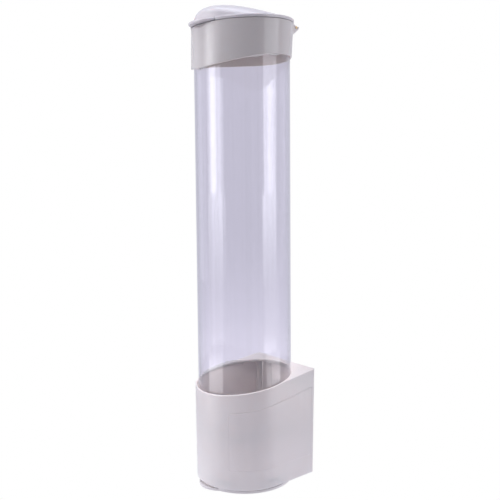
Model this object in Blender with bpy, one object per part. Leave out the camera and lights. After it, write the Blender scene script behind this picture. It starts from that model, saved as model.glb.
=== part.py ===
"""Pull-type cup dispenser: a clear cup tube on a D-shaped wall base, under a hinged domed lid.

Metres, +Z up. The tube's axis is the Z axis, the front faces -Y and the flat back faces +Y.
Z = 0 is the underside of the claw ring, the lowest piece. The cups stand in the tube, and the
lowest one hangs through the claw ring, whose sprung claws hold it by its rim.
"""

import math

import bmesh
import bpy
from mathutils import Matrix, Vector

# Clearances shared by all pieces
GAP = 0.0003
OVERRUN = 0.002

# Cup tube
TUBE_RADIUS = 0.0400
TUBE_WALL = 0.0010
TUBE_LENGTH = 0.3295

# Claw ring
RING_FLANGE_THICKNESS = 0.0019
RING_FLANGE_INSET = 0.0009
RING_STEP = 0.0027
RING_SLEEVE_WALL = 0.0024
RING_HEIGHT = 0.0120
RING_TAB_RADIUS = 0.0180
RING_TAB_REACH = 0.0043
BAYONET_DEPTH = 0.0008
BAYONET_THICKNESS = 0.0016
BAYONET_TOP_STEP = 0.0005
BAYONET_HALF_ANGLE = math.radians(8.0)

# Claws, their pins and springs
CLAW_COUNT = 6
CLAW_LENGTH = 0.0043
CLAW_THICKNESS = 0.0012
CLAW_WIDTH = 0.0092
CLAW_TIP_CHAMFER = 0.0003
CLAW_SIDE_CLEARANCE = 0.0004
KNUCKLE_RADIUS = 0.0013
KNUCKLE_LENGTH = 0.0058
PIVOT_INSET = 0.0016
PIVOT_DROP = 0.0030
PIN_RADIUS = 0.0004
PIN_BITE = 0.0012
SPRING_WIRE_RADIUS = 0.00015
SPRING_COIL_RADIUS = 0.0010
SPRING_PITCH = 0.0008
SPRING_TURNS = 3
SPRING_TURN_POINTS = 8

# Base housing
BASE_WALL = 0.0011
BASE_TUBE_CLEARANCE = 0.0008
BASE_DRAFT = 0.0007
BASE_FRONT_OFFSET = 0.0011
BASE_RIM_SIDE_INSET = 0.0025
BASE_FOOT_SIDE_INSET = 0.0040
BASE_BACK_SPACE = 0.0051
BASE_HEIGHT = 0.0861
BASE_RIM_TILT = math.radians(8.7)
BASE_TOP_PLATE = 0.0018
BASE_CORNER_RADIUS = 0.0012
BASE_RIM_LIP = 0.0003
RIB_THICKNESS = 0.0014
BOSS_RADIUS = 0.0032
BOSS_SIDE_INSET = 0.0094
BOSS_BACK_INSET = 0.0067

# Tube seat and its screws
SEAT_TOP = 0.0482
SEAT_THICKNESS = 0.0020
SEAT_SPIGOT_WALL = 0.0008
SEAT_SPIGOT_HEIGHT = 0.0028
LEDGE_THICKNESS = 0.0017
LEDGE_REACH = 0.0013
LEDGE_ANGLE = math.radians(45.0)
LEDGE_HALF_ANGLE = math.radians(7.0)
SCREW_RADIUS = 0.0010
SCREW_LENGTH = 0.0110
SCREW_HEAD_RADIUS = 0.0028
SCREW_HEAD_HEIGHT = 0.0020
SCREW_SLOT_WIDTH = 0.0007
SCREW_SLOT_DEPTH = 0.0009

# Mounting pad
PAD_WIDTH = 0.0440
PAD_HEIGHT = 0.0560
PAD_THICKNESS = 0.0020
PAD_CENTRE_HEIGHT = 0.0480

# Collar
COLLAR_WALL = 0.0016
COLLAR_DRAFT = 0.0006
COLLAR_LEAN = 0.0006
COLLAR_MOUTH_HEIGHT = 0.0058
COLLAR_TOP_TILT = math.radians(3.6)
COLLAR_SKIRT_FRONT = 0.0344
COLLAR_SKIRT_MIDDLE = 0.0276
COLLAR_SKIRT_BACK = 0.0285
SCALLOP_HALF_WIDTH = 0.0190
SCALLOP_HALF_HEIGHT = 0.0052
SCALLOP_BULGE = 0.0052
SCALLOP_DEPTH = 0.0011

# Lid and its hinge
LID_FLANGE_THICKNESS = 0.0026
LID_FLANGE_OVERHANG = 0.0004
LID_DOME_INSET = 0.0029
LID_DOME_HEIGHT = 0.0120
LID_DOME_LEAN = 0.0240
LID_WALL = 0.0014
LID_LIP_DEPTH = 0.0015
LID_LIP_WALL = 0.0014
LID_LIP_CLEARANCE = 0.0006
LID_TAB_RADIUS = 0.0200
LID_TAB_REACH = 0.0056
LID_TAB_THICKNESS = 0.0019
HINGE_BACK_STEP = 0.0002
HINGE_DROP = 0.0009
HINGE_PIN_RADIUS = 0.0010
HINGE_BARREL_RADIUS = 0.0023
HINGE_ARM_CENTRE = 0.01585
HINGE_ARM_WIDTH = 0.0027
EAR_THICKNESS = 0.0019
EAR_RADIUS = 0.0027
EAR_GUSSET_HEIGHT = 0.0090

# Mesh fineness, in counts
ROUND_SEGMENTS = 64
ARC_STEPS = 46
SIDE_STEPS = 4
LOFT_STEPS = 4
CORNER_STEPS = 3
SMALL_SEGMENTS = 20
PIN_SEGMENTS = 12
DOME_STEPS = 8
SMOOTH_ANGLE = math.radians(35.0)

# Levels and radii that follow from the sizes above
BASE_FOOT = RING_FLANGE_THICKNESS + GAP
BASE_RIM_RADIUS = TUBE_RADIUS + BASE_TUBE_CLEARANCE + BASE_WALL
BASE_FOOT_RADIUS = BASE_RIM_RADIUS - BASE_DRAFT
BASE_BACK = TUBE_RADIUS + BASE_BACK_SPACE + BASE_WALL
BASE_RIM_LEVEL = BASE_FOOT + BASE_HEIGHT
BORE_RADIUS = TUBE_RADIUS + GAP
RING_BORE_RADIUS = TUBE_RADIUS - TUBE_WALL - RING_STEP
RING_SLEEVE_RADIUS = RING_BORE_RADIUS + RING_SLEEVE_WALL
RING_FLANGE_RADIUS = BASE_FOOT_RADIUS - RING_FLANGE_INSET
RING_TAB_CENTRE = RING_FLANGE_RADIUS + RING_TAB_REACH - RING_TAB_RADIUS
BAYONET_RADIUS = RING_SLEEVE_RADIUS + BAYONET_DEPTH
BAYONET_TOP = RING_HEIGHT - BAYONET_TOP_STEP
LUG_TOP = BAYONET_TOP - BAYONET_THICKNESS - GAP
CLAW_STEP = math.tau / CLAW_COUNT
PIVOT_RADIUS = RING_SLEEVE_RADIUS - PIVOT_INSET
PIVOT_LEVEL = RING_HEIGHT - PIVOT_DROP
NOTCH_HALF_WIDTH = CLAW_WIDTH / 2 + CLAW_SIDE_CLEARANCE
PIN_LENGTH = 2 * (NOTCH_HALF_WIDTH + PIN_BITE)
PIN_HOLE_RADIUS = PIN_RADIUS + GAP
RIB_X = BORE_RADIUS * math.sin(CLAW_STEP / 2)
BOSS_X = BASE_RIM_RADIUS - BASE_RIM_SIDE_INSET - BOSS_SIDE_INSET
BOSS_Y = BASE_BACK - BOSS_BACK_INSET
SEAT_FOOT = SEAT_TOP - SEAT_THICKNESS
SPIGOT_RADIUS = TUBE_RADIUS - TUBE_WALL - GAP
TUBE_FOOT = SEAT_TOP + GAP
TUBE_TOP = TUBE_FOOT + TUBE_LENGTH
COLLAR_SHOULDER = TUBE_TOP + GAP
COLLAR_TOP_LEVEL = COLLAR_SHOULDER + COLLAR_MOUTH_HEIGHT
COLLAR_FOOT_RADIUS = BORE_RADIUS + COLLAR_WALL
COLLAR_TOP_RADIUS = COLLAR_FOOT_RADIUS + COLLAR_DRAFT
COLLAR_MOUTH_RADIUS = TUBE_RADIUS - TUBE_WALL
LID_FLANGE_RADIUS = COLLAR_TOP_RADIUS + LID_FLANGE_OVERHANG
LID_DOME_RADIUS = LID_FLANGE_RADIUS - LID_DOME_INSET
LID_LIP_RADIUS = COLLAR_MOUTH_RADIUS - LID_LIP_CLEARANCE
LID_TAB_CENTRE = LID_FLANGE_RADIUS + LID_TAB_REACH - LID_TAB_RADIUS
HINGE_Y = COLLAR_TOP_RADIUS + COLLAR_LEAN + HINGE_BACK_STEP
HINGE_Z = COLLAR_TOP_LEVEL + math.tan(COLLAR_TOP_TILT) * HINGE_Y - HINGE_DROP
HINGE_HOLE_RADIUS = HINGE_PIN_RADIUS + GAP
ARM_INNER_X = HINGE_ARM_CENTRE - HINGE_ARM_WIDTH / 2
ARM_OUTER_X = HINGE_ARM_CENTRE + HINGE_ARM_WIDTH / 2
EAR_INNER_X = ARM_OUTER_X + GAP
EAR_OUTER_X = EAR_INNER_X + EAR_THICKNESS


def clear_scene():
    """Remove every object that is in the scene."""
    for item in list(bpy.data.objects):
        bpy.data.objects.remove(item, do_unlink=True)


def make_material(name, colour, roughness, metallic=0.0, transmission=0.0):
    """Return a Principled material with one colour."""
    material = bpy.data.materials.new(name)
    material.use_nodes = True
    shader = material.node_tree.nodes["Principled BSDF"]
    shader.inputs["Base Color"].default_value = (*colour, 1.0)
    shader.inputs["Roughness"].default_value = roughness
    shader.inputs["Metallic"].default_value = metallic
    shader.inputs["Transmission Weight"].default_value = transmission
    return material


def object_from(shape, name):
    """Turn a bmesh into an object of the scene, with its faces pointing out."""
    bmesh.ops.recalc_face_normals(shape, faces=shape.faces)
    mesh = bpy.data.meshes.new(name)
    shape.to_mesh(mesh)
    shape.free()
    item = bpy.data.objects.new(name, mesh)
    bpy.context.scene.collection.objects.link(item)
    return item


def combine(target, operation, *tools):
    """Join the tools to the target, or cut them from it, and remove them."""
    for tool in tools:
        modifier = target.modifiers.new("combine", "BOOLEAN")
        modifier.operation = operation
        modifier.solver = "EXACT"
        modifier.object = tool
        bpy.context.view_layer.update()
        scene_state = bpy.context.evaluated_depsgraph_get()
        result = bpy.data.meshes.new_from_object(target.evaluated_get(scene_state))
        target.modifiers.clear()
        target.data = result
        bpy.data.objects.remove(tool, do_unlink=True)
    target.data.name = target.name
    return target


def finish(item, material):
    """Give a piece its material and smooth its round faces."""
    item.data.materials.clear()
    item.data.materials.append(material)
    item.data.shade_smooth()
    item.data.set_sharp_from_angle(angle=SMOOTH_ANGLE)
    return item


def move_origin(item, point):
    """Put a piece's origin at a point without moving its shape."""
    item.data.transform(Matrix.Translation(-Vector(point)))
    item.location = point


def turned(name, profile, closed=True):
    """Spin a profile of (radius, height) points about the Z axis."""
    shape = bmesh.new()
    corners = [shape.verts.new((radius, 0.0, height)) for radius, height in profile]
    edges = [shape.edges.new(pair) for pair in zip(corners, corners[1:])]
    if closed:
        edges.append(shape.edges.new((corners[-1], corners[0])))
    bmesh.ops.spin(shape, geom=corners + edges, cent=(0, 0, 0), axis=(0, 0, 1), angle=math.tau,
                   steps=ROUND_SEGMENTS, use_merge=True)
    bmesh.ops.remove_doubles(shape, verts=shape.verts, dist=GAP / 100)
    return object_from(shape, name)


def prism(name, outline, low, high):
    """Extrude an (x, y) outline between two levels, each a number or a function of y."""
    def level(rule, y):
        return rule(y) if callable(rule) else rule

    shape = bmesh.new()
    floor = shape.faces.new([shape.verts.new((x, y, level(low, y))) for x, y in outline])
    raised = bmesh.ops.extrude_face_region(shape, geom=[floor])["geom"]
    for vert in (item for item in raised if isinstance(item, bmesh.types.BMVert)):
        vert.co.z = level(high, vert.co.y)
    return object_from(shape, name)


def loft(name, outline_at, low, high):
    """Raise a solid from a level to a sloping plane, through outlines that change with the share of its height."""
    shape = bmesh.new()
    rows = []
    for step in range(LOFT_STEPS + 1):
        share = step / LOFT_STEPS
        rows.append([shape.verts.new((x, y, low + share * (high(y) - low))) for x, y in outline_at(share)])
    for lower, upper in zip(rows, rows[1:]):
        for corner in range(len(lower)):
            shape.faces.new((lower[corner - 1], lower[corner], upper[corner], upper[corner - 1]))
    shape.faces.new(rows[0])
    shape.faces.new(rows[-1])
    return object_from(shape, name)


def side_prism(name, outline, low, high):
    """Extrude a (y, z) outline along X."""
    shape = bmesh.new()
    wall = shape.faces.new([shape.verts.new((low, y, z)) for y, z in outline])
    raised = bmesh.ops.extrude_face_region(shape, geom=[wall])["geom"]
    for vert in (item for item in raised if isinstance(item, bmesh.types.BMVert)):
        vert.co.x = high
    return object_from(shape, name)


def box(name, low, high):
    """Return a box between two corners."""
    size = Vector(high) - Vector(low)
    centre = (Vector(high) + Vector(low)) / 2
    shape = bmesh.new()
    bmesh.ops.create_cube(shape, size=1.0, matrix=Matrix.Translation(centre) @ Matrix.Diagonal((*size, 1.0)))
    return object_from(shape, name)


def rod(name, radius, start, end, segments):
    """Return a cylinder between two points."""
    span = Vector(end) - Vector(start)
    turn = span.to_track_quat("Z", "Y").to_matrix().to_4x4()
    shape = bmesh.new()
    bmesh.ops.create_cone(shape, cap_ends=True, segments=segments, radius1=radius, radius2=radius,
                          depth=span.length, matrix=Matrix.Translation((Vector(start) + Vector(end)) / 2) @ turn)
    return object_from(shape, name)


def arc(centre, radius, start, end, steps):
    """Return the points of an arc, from one angle to another."""
    angles = [start + (end - start) * step / steps for step in range(steps + 1)]
    return [(centre[0] + radius * math.cos(a), centre[1] + radius * math.sin(a)) for a in angles]


def from_front(angle):
    """Return the angle from +X of a direction that is given from the front, -Y."""
    return angle - math.pi / 2


def sector(name, inner, outer, low, high, middle, half_angle, steps=4):
    """Return a block of a ring, centred on an angle from the front."""
    start = from_front(middle - half_angle)
    end = from_front(middle + half_angle)
    outline = arc((0, 0), outer, start, end, steps) + arc((0, 0), inner, end, start, steps)
    return prism(name, outline, low, high)


def lobe(centre, radius, root):
    """Return the outline of a thumb tab: a round nose that grows out of a ring at its root radius."""
    half = math.acos((root ** 2 + centre ** 2 - radius ** 2) / (2 * root * centre))
    corner_x = root * math.sin(half)
    corner_y = -root * math.cos(half)
    swing = math.atan2(corner_y + centre, corner_x)
    nose = arc((0, -centre), radius, -math.pi - swing, swing, SMALL_SEGMENTS)
    foot = arc((0, 0), root - GAP, from_front(half), from_front(-half), SMALL_SEGMENTS // 2)
    return nose + foot[1:-1]


def rounded_d(radius, half_width, back):
    """Return a D outline: a round front, straight sides drawn in to the back, and small corners."""
    centre = Vector((0, -BASE_FRONT_OFFSET))
    corner = Vector((half_width, back))
    reach = corner - centre
    tangent = math.atan2(reach.y, reach.x) - math.acos(radius / reach.length)
    touch = centre + radius * Vector((math.cos(tangent), math.sin(tangent)))
    side = (corner - touch).normalized()
    half_turn = math.acos(-side.dot(Vector((-1, 0)))) / 2
    setback = BASE_CORNER_RADIUS / math.tan(half_turn)
    middle = corner - side * setback + BASE_CORNER_RADIUS * Vector((-side.y, side.x))
    right = arc(middle, BASE_CORNER_RADIUS, math.atan2(-side.x, side.y), math.pi / 2, CORNER_STEPS)
    left = [(-x, y) for x, y in reversed(right)]
    front = arc(centre, radius, math.pi - tangent, math.tau + tangent, ARC_STEPS)
    shares = [step / SIDE_STEPS for step in range(1, SIDE_STEPS)]
    left_side = [Vector(left[-1]).lerp(Vector(front[0]), share) for share in shares]
    right_side = [(-x, y) for x, y in reversed(left_side)]
    return right + left + [tuple(point) for point in left_side] + front + right_side


def base_outline(share, inset):
    """Return the base's outline, inset from its outside, at a share of its height."""
    radius = BASE_FOOT_RADIUS + share * BASE_DRAFT
    side_inset = BASE_FOOT_SIDE_INSET + share * (BASE_RIM_SIDE_INSET - BASE_FOOT_SIDE_INSET)
    return rounded_d(radius - inset, radius - side_inset - inset, BASE_BACK - inset)


def base_top(y):
    """Return the height of the base's sloping top at a depth."""
    return BASE_RIM_LEVEL + math.tan(BASE_RIM_TILT) * y


def base_ceiling(y):
    """Return the height of the underside of the base's top plate."""
    return base_top(y) - BASE_TOP_PLATE


def base_share(level):
    """Return the share of the base's height that a level has."""
    return (level - BASE_FOOT) / BASE_HEIGHT


def wall_distance(angle, level):
    """Return how far the middle of the base's round wall is from the Z axis, at an angle from the front."""
    radius = BASE_FOOT_RADIUS + base_share(level) * BASE_DRAFT - BASE_WALL / 2
    along = BASE_FRONT_OFFSET * math.cos(angle)
    return along + math.sqrt(radius ** 2 - BASE_FRONT_OFFSET ** 2 + along ** 2)


def lid_plane(y):
    """Return the height of the lid's underside, just over the collar's sloping top."""
    return collar_top(y) + GAP


def collar_top(y):
    """Return the height of the collar's sloping top at a depth."""
    return COLLAR_TOP_LEVEL + math.tan(COLLAR_TOP_TILT) * y


def collar_foot(y):
    """Return the height of the collar's swept lower edge at a depth."""
    share = y / COLLAR_FOOT_RADIUS
    slant = (COLLAR_SKIRT_BACK - COLLAR_SKIRT_FRONT) / 2
    bow = (COLLAR_SKIRT_BACK + COLLAR_SKIRT_FRONT) / 2 - COLLAR_SKIRT_MIDDLE
    return collar_top(y) - COLLAR_SKIRT_MIDDLE - slant * share - bow * share ** 2


def make_base(plastic):
    """Build the D-shaped housing with its ribs, bosses, seat ledges and bayonet lugs."""
    base = loft("base_housing", lambda share: base_outline(share, 0), BASE_FOOT, base_top)
    hollow = loft("hollow", lambda share: base_outline(share, BASE_WALL), BASE_FOOT - OVERRUN, base_ceiling)
    combine(base, "DIFFERENCE", hollow)

    front_radius = BASE_RIM_RADIUS - BASE_WALL - BASE_RIM_LIP
    reach_y = (front_radius + BASE_FRONT_OFFSET + BORE_RADIUS) / 2
    centre_y = BORE_RADIUS - reach_y
    mouth_shape = arc((0, 0), 1.0, 0, math.tau, ROUND_SEGMENTS)[:-1]
    mouth_outline = [(front_radius * x, centre_y + reach_y * y) for x, y in mouth_shape]
    mouth = prism("mouth", mouth_outline, lambda y: base_ceiling(y) - OVERRUN, lambda y: base_top(y) + OVERRUN)
    combine(base, "DIFFERENCE", mouth)

    for sign in (-1, 1):
        rib_low = (sign * RIB_X - RIB_THICKNESS / 2, TUBE_RADIUS / 2, BASE_FOOT + BASE_WALL)
        rib_high = (sign * RIB_X + RIB_THICKNESS / 2, BASE_BACK - BASE_WALL / 2, base_ceiling(BASE_BACK))
        rib = box("rib", rib_low, rib_high)
        room = rod("room", BORE_RADIUS, (0, 0, -OVERRUN), (0, 0, BASE_RIM_LEVEL + BASE_HEIGHT), ROUND_SEGMENTS)
        slope = prism("slope", [(-BASE_BACK, 0), (BASE_BACK, 0), (BASE_BACK, 2 * BASE_BACK), (-BASE_BACK, 2 * BASE_BACK)],
                      lambda y: base_ceiling(y) + BASE_TOP_PLATE / 2, BASE_RIM_LEVEL + BASE_HEIGHT)
        combine(rib, "DIFFERENCE", room, slope)
        boss = prism("boss", arc((sign * BOSS_X, BOSS_Y), BOSS_RADIUS, 0, math.tau, SMALL_SEGMENTS)[:-1],
                     SEAT_TOP + GAP, lambda y: base_ceiling(y) + BASE_TOP_PLATE / 2)
        combine(base, "UNION", rib, boss)
        pilot_start = (sign * BOSS_X, BOSS_Y, SEAT_TOP - OVERRUN)
        pilot_end = (sign * BOSS_X, BOSS_Y, SEAT_FOOT + SCREW_LENGTH + OVERRUN)
        combine(base, "DIFFERENCE", rod("pilot", SCREW_RADIUS + GAP, pilot_start, pilot_end, PIN_SEGMENTS))
        ledge_top = SEAT_FOOT - GAP
        ledge_outer = wall_distance(LEDGE_ANGLE, ledge_top)
        ledge_inner = ledge_outer - BASE_WALL / 2 - LEDGE_REACH
        ledge = sector("ledge", ledge_inner, ledge_outer, ledge_top - LEDGE_THICKNESS, ledge_top,
                       sign * LEDGE_ANGLE, LEDGE_HALF_ANGLE)
        combine(base, "UNION", ledge)

    for number in range(CLAW_COUNT):
        angle = (number + 0.5) * CLAW_STEP
        on_rib = math.cos(angle) < -0.5
        outer = BORE_RADIUS + BASE_WALL if on_rib else wall_distance(angle, LUG_TOP)
        lug = sector("lug", RING_SLEEVE_RADIUS + GAP, outer, LUG_TOP - BAYONET_THICKNESS, LUG_TOP,
                     angle, BAYONET_HALF_ANGLE)
        combine(base, "UNION", lug)
    return finish(base, plastic)


def make_seat(plastic):
    """Build the plate inside the base that the tube stands on."""
    outline = base_outline(base_share(SEAT_TOP), BASE_WALL + GAP)
    seat = prism("tube_seat", outline, SEAT_FOOT, SEAT_TOP)
    spigot = rod("spigot", SPIGOT_RADIUS, (0, 0, SEAT_FOOT + SEAT_THICKNESS / 2),
                 (0, 0, SEAT_TOP + SEAT_SPIGOT_HEIGHT), ROUND_SEGMENTS)
    combine(seat, "UNION", spigot)
    bore = rod("bore", SPIGOT_RADIUS - SEAT_SPIGOT_WALL, (0, 0, SEAT_FOOT - OVERRUN),
               (0, 0, SEAT_TOP + SEAT_SPIGOT_HEIGHT + OVERRUN), ROUND_SEGMENTS)
    combine(seat, "DIFFERENCE", bore)
    slot_half = RIB_THICKNESS / 2 + GAP
    slot_front = math.sqrt(BORE_RADIUS ** 2 - (RIB_X + slot_half) ** 2) - GAP
    for sign in (-1, 1):
        slot = box("slot", (sign * RIB_X - slot_half, slot_front, SEAT_FOOT - OVERRUN),
                   (sign * RIB_X + slot_half, BASE_BACK, SEAT_TOP + OVERRUN))
        hole = rod("hole", SCREW_RADIUS + GAP, (sign * BOSS_X, BOSS_Y, SEAT_FOOT - OVERRUN),
                   (sign * BOSS_X, BOSS_Y, SEAT_TOP + OVERRUN), PIN_SEGMENTS)
        combine(seat, "DIFFERENCE", slot, hole)
    return finish(seat, plastic)


def make_screw(name, x, steel):
    """Build a pan-head screw with a cross slot, driven up through the seat into a boss."""
    seat = SEAT_FOOT - GAP
    screw = rod(name, SCREW_HEAD_RADIUS, (x, BOSS_Y, seat - SCREW_HEAD_HEIGHT), (x, BOSS_Y, seat), PIN_SEGMENTS)
    shank = rod("shank", SCREW_RADIUS, (x, BOSS_Y, seat - SCREW_HEAD_HEIGHT / 2),
                (x, BOSS_Y, seat + SCREW_LENGTH), PIN_SEGMENTS)
    combine(screw, "UNION", shank)
    half = SCREW_SLOT_WIDTH / 2
    reach = SCREW_HEAD_RADIUS / 2
    foot = seat - SCREW_HEAD_HEIGHT
    for half_x, half_y in ((half, reach), (reach, half)):
        slot = box("slot", (x - half_x, BOSS_Y - half_y, foot - OVERRUN),
                   (x + half_x, BOSS_Y + half_y, foot + SCREW_SLOT_DEPTH))
        combine(screw, "DIFFERENCE", slot)
    return finish(screw, steel)


def make_pad(foam):
    """Build the foam pad on the flat back, which holds the base to a wall."""
    face = BASE_BACK + GAP
    low = (-PAD_WIDTH / 2, face, PAD_CENTRE_HEIGHT - PAD_HEIGHT / 2)
    high = (PAD_WIDTH / 2, face + PAD_THICKNESS, PAD_CENTRE_HEIGHT + PAD_HEIGHT / 2)
    return finish(box("mounting_pad", low, high), foam)


def make_tube(clear):
    """Build the clear cup tube."""
    inner = TUBE_RADIUS - TUBE_WALL
    profile = [(inner, TUBE_FOOT), (TUBE_RADIUS, TUBE_FOOT), (TUBE_RADIUS, TUBE_TOP), (inner, TUBE_TOP)]
    return finish(turned("cup_tube", profile), clear)


def make_collar(plastic):
    """Build the collar with its swept lower edge, thumb scallop and two hinge ears."""
    middle = (COLLAR_SHOULDER + TUBE_TOP) / 2
    foot = COLLAR_SHOULDER - COLLAR_SKIRT_MIDDLE
    profile = [(BORE_RADIUS, foot), (COLLAR_FOOT_RADIUS, foot), (COLLAR_TOP_RADIUS, COLLAR_TOP_LEVEL),
               (COLLAR_MOUTH_RADIUS, COLLAR_TOP_LEVEL), (COLLAR_MOUTH_RADIUS, COLLAR_SHOULDER),
               (BORE_RADIUS, COLLAR_SHOULDER)]
    collar = turned("collar", profile)
    outside = (BORE_RADIUS + COLLAR_FOOT_RADIUS) / 2
    for vert in collar.data.vertices:
        is_outside = math.hypot(vert.co.x, vert.co.y) > outside
        if vert.co.z > COLLAR_SHOULDER + GAP:
            vert.co.y += COLLAR_LEAN if is_outside else 0
            vert.co.z = collar_top(vert.co.y)
        elif vert.co.z < middle - GAP:
            vert.co.y -= COLLAR_LEAN if is_outside else 0
            vert.co.z = collar_foot(vert.co.y)

    front = COLLAR_LEAN - COLLAR_TOP_RADIUS
    scoop = bmesh.new()
    place = Matrix.Translation((0, front + SCALLOP_DEPTH - SCALLOP_BULGE, collar_top(front)))
    size = Matrix.Diagonal((SCALLOP_HALF_WIDTH, SCALLOP_BULGE, SCALLOP_HALF_HEIGHT, 1.0))
    bmesh.ops.create_uvsphere(scoop, u_segments=SMALL_SEGMENTS, v_segments=PIN_SEGMENTS, radius=1.0, matrix=place @ size)
    combine(collar, "DIFFERENCE", object_from(scoop, "scoop"))

    root = COLLAR_MOUTH_RADIUS * math.cos(math.asin(EAR_INNER_X / COLLAR_MOUTH_RADIUS)) + COLLAR_WALL
    brow = collar_top(root) - GAP
    hook = arc((HINGE_Y, HINGE_Z), EAR_RADIUS, math.radians(-50), math.radians(15), SMALL_SEGMENTS // 2)
    outline = [(root, HINGE_Z - EAR_GUSSET_HEIGHT)] + hook + [(root, brow)]
    for sign in (-1, 1):
        low, high = sorted((sign * EAR_INNER_X, sign * EAR_OUTER_X))
        ear = side_prism("ear", outline, low, high)
        hole = rod("hole", HINGE_HOLE_RADIUS, (low - OVERRUN, HINGE_Y, HINGE_Z), (high + OVERRUN, HINGE_Y, HINGE_Z),
                   SMALL_SEGMENTS)
        throat = box("throat", (low - OVERRUN, HINGE_Y - HINGE_HOLE_RADIUS, HINGE_Z),
                     (high + OVERRUN, HINGE_Y + HINGE_HOLE_RADIUS, HINGE_Z + EAR_RADIUS + OVERRUN))
        combine(ear, "DIFFERENCE", hole, throat)
        combine(collar, "UNION", ear)
    return finish(collar, plastic)


def make_lid(plastic):
    """Build the lid: flange, leaning dome, locating lip, thumb tab and two hinge arms."""
    inner_radius = LID_LIP_RADIUS - LID_LIP_WALL
    inner_foot = LID_FLANGE_THICKNESS - LID_WALL
    inner_height = LID_DOME_HEIGHT - GAP
    steps = [step / DOME_STEPS for step in range(DOME_STEPS + 1)]
    outer_dome = [(LID_DOME_RADIUS * t, LID_FLANGE_THICKNESS + LID_DOME_HEIGHT * (1 - t ** 2)) for t in steps]
    inner_dome = [(inner_radius * t, inner_foot + inner_height * (1 - t ** 2)) for t in reversed(steps)]
    rim = [(LID_FLANGE_RADIUS, LID_FLANGE_THICKNESS), (LID_FLANGE_RADIUS, 0), (LID_LIP_RADIUS, 0),
           (LID_LIP_RADIUS, -LID_LIP_DEPTH), (inner_radius, -LID_LIP_DEPTH)]
    lid = turned("lid", outer_dome + rim + inner_dome, closed=False)
    rim_radius = (LID_FLANGE_RADIUS + LID_DOME_RADIUS) / 2
    for vert in lid.data.vertices:
        rise = vert.co.z
        radius = math.hypot(vert.co.x, vert.co.y)
        inner_share = 1 - (radius / inner_radius) ** 2
        outer_share = 1 - (radius / LID_DOME_RADIUS) ** 2
        is_inner = abs(rise - inner_foot - inner_height * inner_share) < abs(rise - LID_FLANGE_THICKNESS - LID_DOME_HEIGHT * outer_share)
        if radius > rim_radius:
            vert.co.y += COLLAR_LEAN
        elif rise > inner_foot:
            vert.co.y -= LID_DOME_LEAN * (inner_share if is_inner else outer_share)
        vert.co.z = rise + lid_plane(vert.co.y)

    tab = prism("tab", lobe(LID_TAB_CENTRE, LID_TAB_RADIUS, LID_FLANGE_RADIUS - LID_WALL), lid_plane,
                lambda y: lid_plane(y) + LID_TAB_THICKNESS)
    combine(lid, "UNION", tab)

    root = LID_DOME_RADIUS - LID_DOME_INSET
    barrel = arc((HINGE_Y, HINGE_Z), HINGE_BARREL_RADIUS, math.pi, math.tau + math.pi / 3, SMALL_SEGMENTS)
    inner_y = HINGE_Y - HINGE_BARREL_RADIUS
    crown = lid_plane(inner_y) + LID_FLANGE_THICKNESS - GAP
    outline = [(root, lid_plane(root) + GAP), (inner_y, lid_plane(inner_y) + GAP)] + barrel + [(inner_y + GAP, crown), (root, lid_plane(root) + LID_FLANGE_THICKNESS - GAP)]
    for sign in (-1, 1):
        low, high = sorted((sign * ARM_INNER_X, sign * ARM_OUTER_X))
        arm = side_prism("arm", outline, low, high)
        combine(lid, "UNION", arm)
        hole = rod("hole", HINGE_HOLE_RADIUS, (low - OVERRUN, HINGE_Y, HINGE_Z), (high + OVERRUN, HINGE_Y, HINGE_Z),
                   SMALL_SEGMENTS)
        combine(lid, "DIFFERENCE", hole)
    move_origin(lid, (0, HINGE_Y, HINGE_Z))
    return finish(lid, plastic)


def make_hinge_pin(name, sign, brass):
    """Build a short pin through one ear of the collar and one arm of the lid."""
    start = (sign * ARM_INNER_X, HINGE_Y, HINGE_Z)
    end = (sign * EAR_OUTER_X, HINGE_Y, HINGE_Z)
    pin = rod(name, HINGE_PIN_RADIUS, start, end, SMALL_SEGMENTS)
    move_origin(pin, (0, HINGE_Y, HINGE_Z))
    return finish(pin, brass)


def make_claw_ring(plastic):
    """Build the turning ring at the foot: flange, thumb tab, sleeve, bayonet tabs and claw notches."""
    profile = [(RING_BORE_RADIUS, 0), (RING_FLANGE_RADIUS, 0), (RING_FLANGE_RADIUS, RING_FLANGE_THICKNESS),
               (RING_SLEEVE_RADIUS, RING_FLANGE_THICKNESS), (RING_SLEEVE_RADIUS, RING_HEIGHT),
               (RING_BORE_RADIUS, RING_HEIGHT)]
    ring = turned("claw_ring", profile)
    tab = prism("tab", lobe(RING_TAB_CENTRE, RING_TAB_RADIUS, RING_FLANGE_RADIUS - RING_FLANGE_INSET), 0,
                RING_FLANGE_THICKNESS)
    combine(ring, "UNION", tab)
    for number in range(CLAW_COUNT):
        turn = Matrix.Rotation(number * CLAW_STEP, 4, "Z")
        bayonet = sector("bayonet", RING_SLEEVE_RADIUS - RING_SLEEVE_WALL / 2, BAYONET_RADIUS,
                         BAYONET_TOP - BAYONET_THICKNESS, BAYONET_TOP, (number + 0.5) * CLAW_STEP, BAYONET_HALF_ANGLE)
        combine(ring, "UNION", bayonet)
        notch = box("notch", (-NOTCH_HALF_WIDTH, -BAYONET_RADIUS, RING_FLANGE_THICKNESS + BASE_WALL),
                    (NOTCH_HALF_WIDTH, -RING_BORE_RADIUS + OVERRUN, RING_HEIGHT + OVERRUN))
        hole = rod("hole", PIN_HOLE_RADIUS, (-PIN_LENGTH / 2 - GAP, -PIVOT_RADIUS, PIVOT_LEVEL),
                   (PIN_LENGTH / 2 + GAP, -PIVOT_RADIUS, PIVOT_LEVEL), PIN_SEGMENTS)
        for tool in (notch, hole):
            tool.data.transform(turn)
        combine(ring, "DIFFERENCE", notch, hole)
    return finish(ring, plastic)


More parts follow.
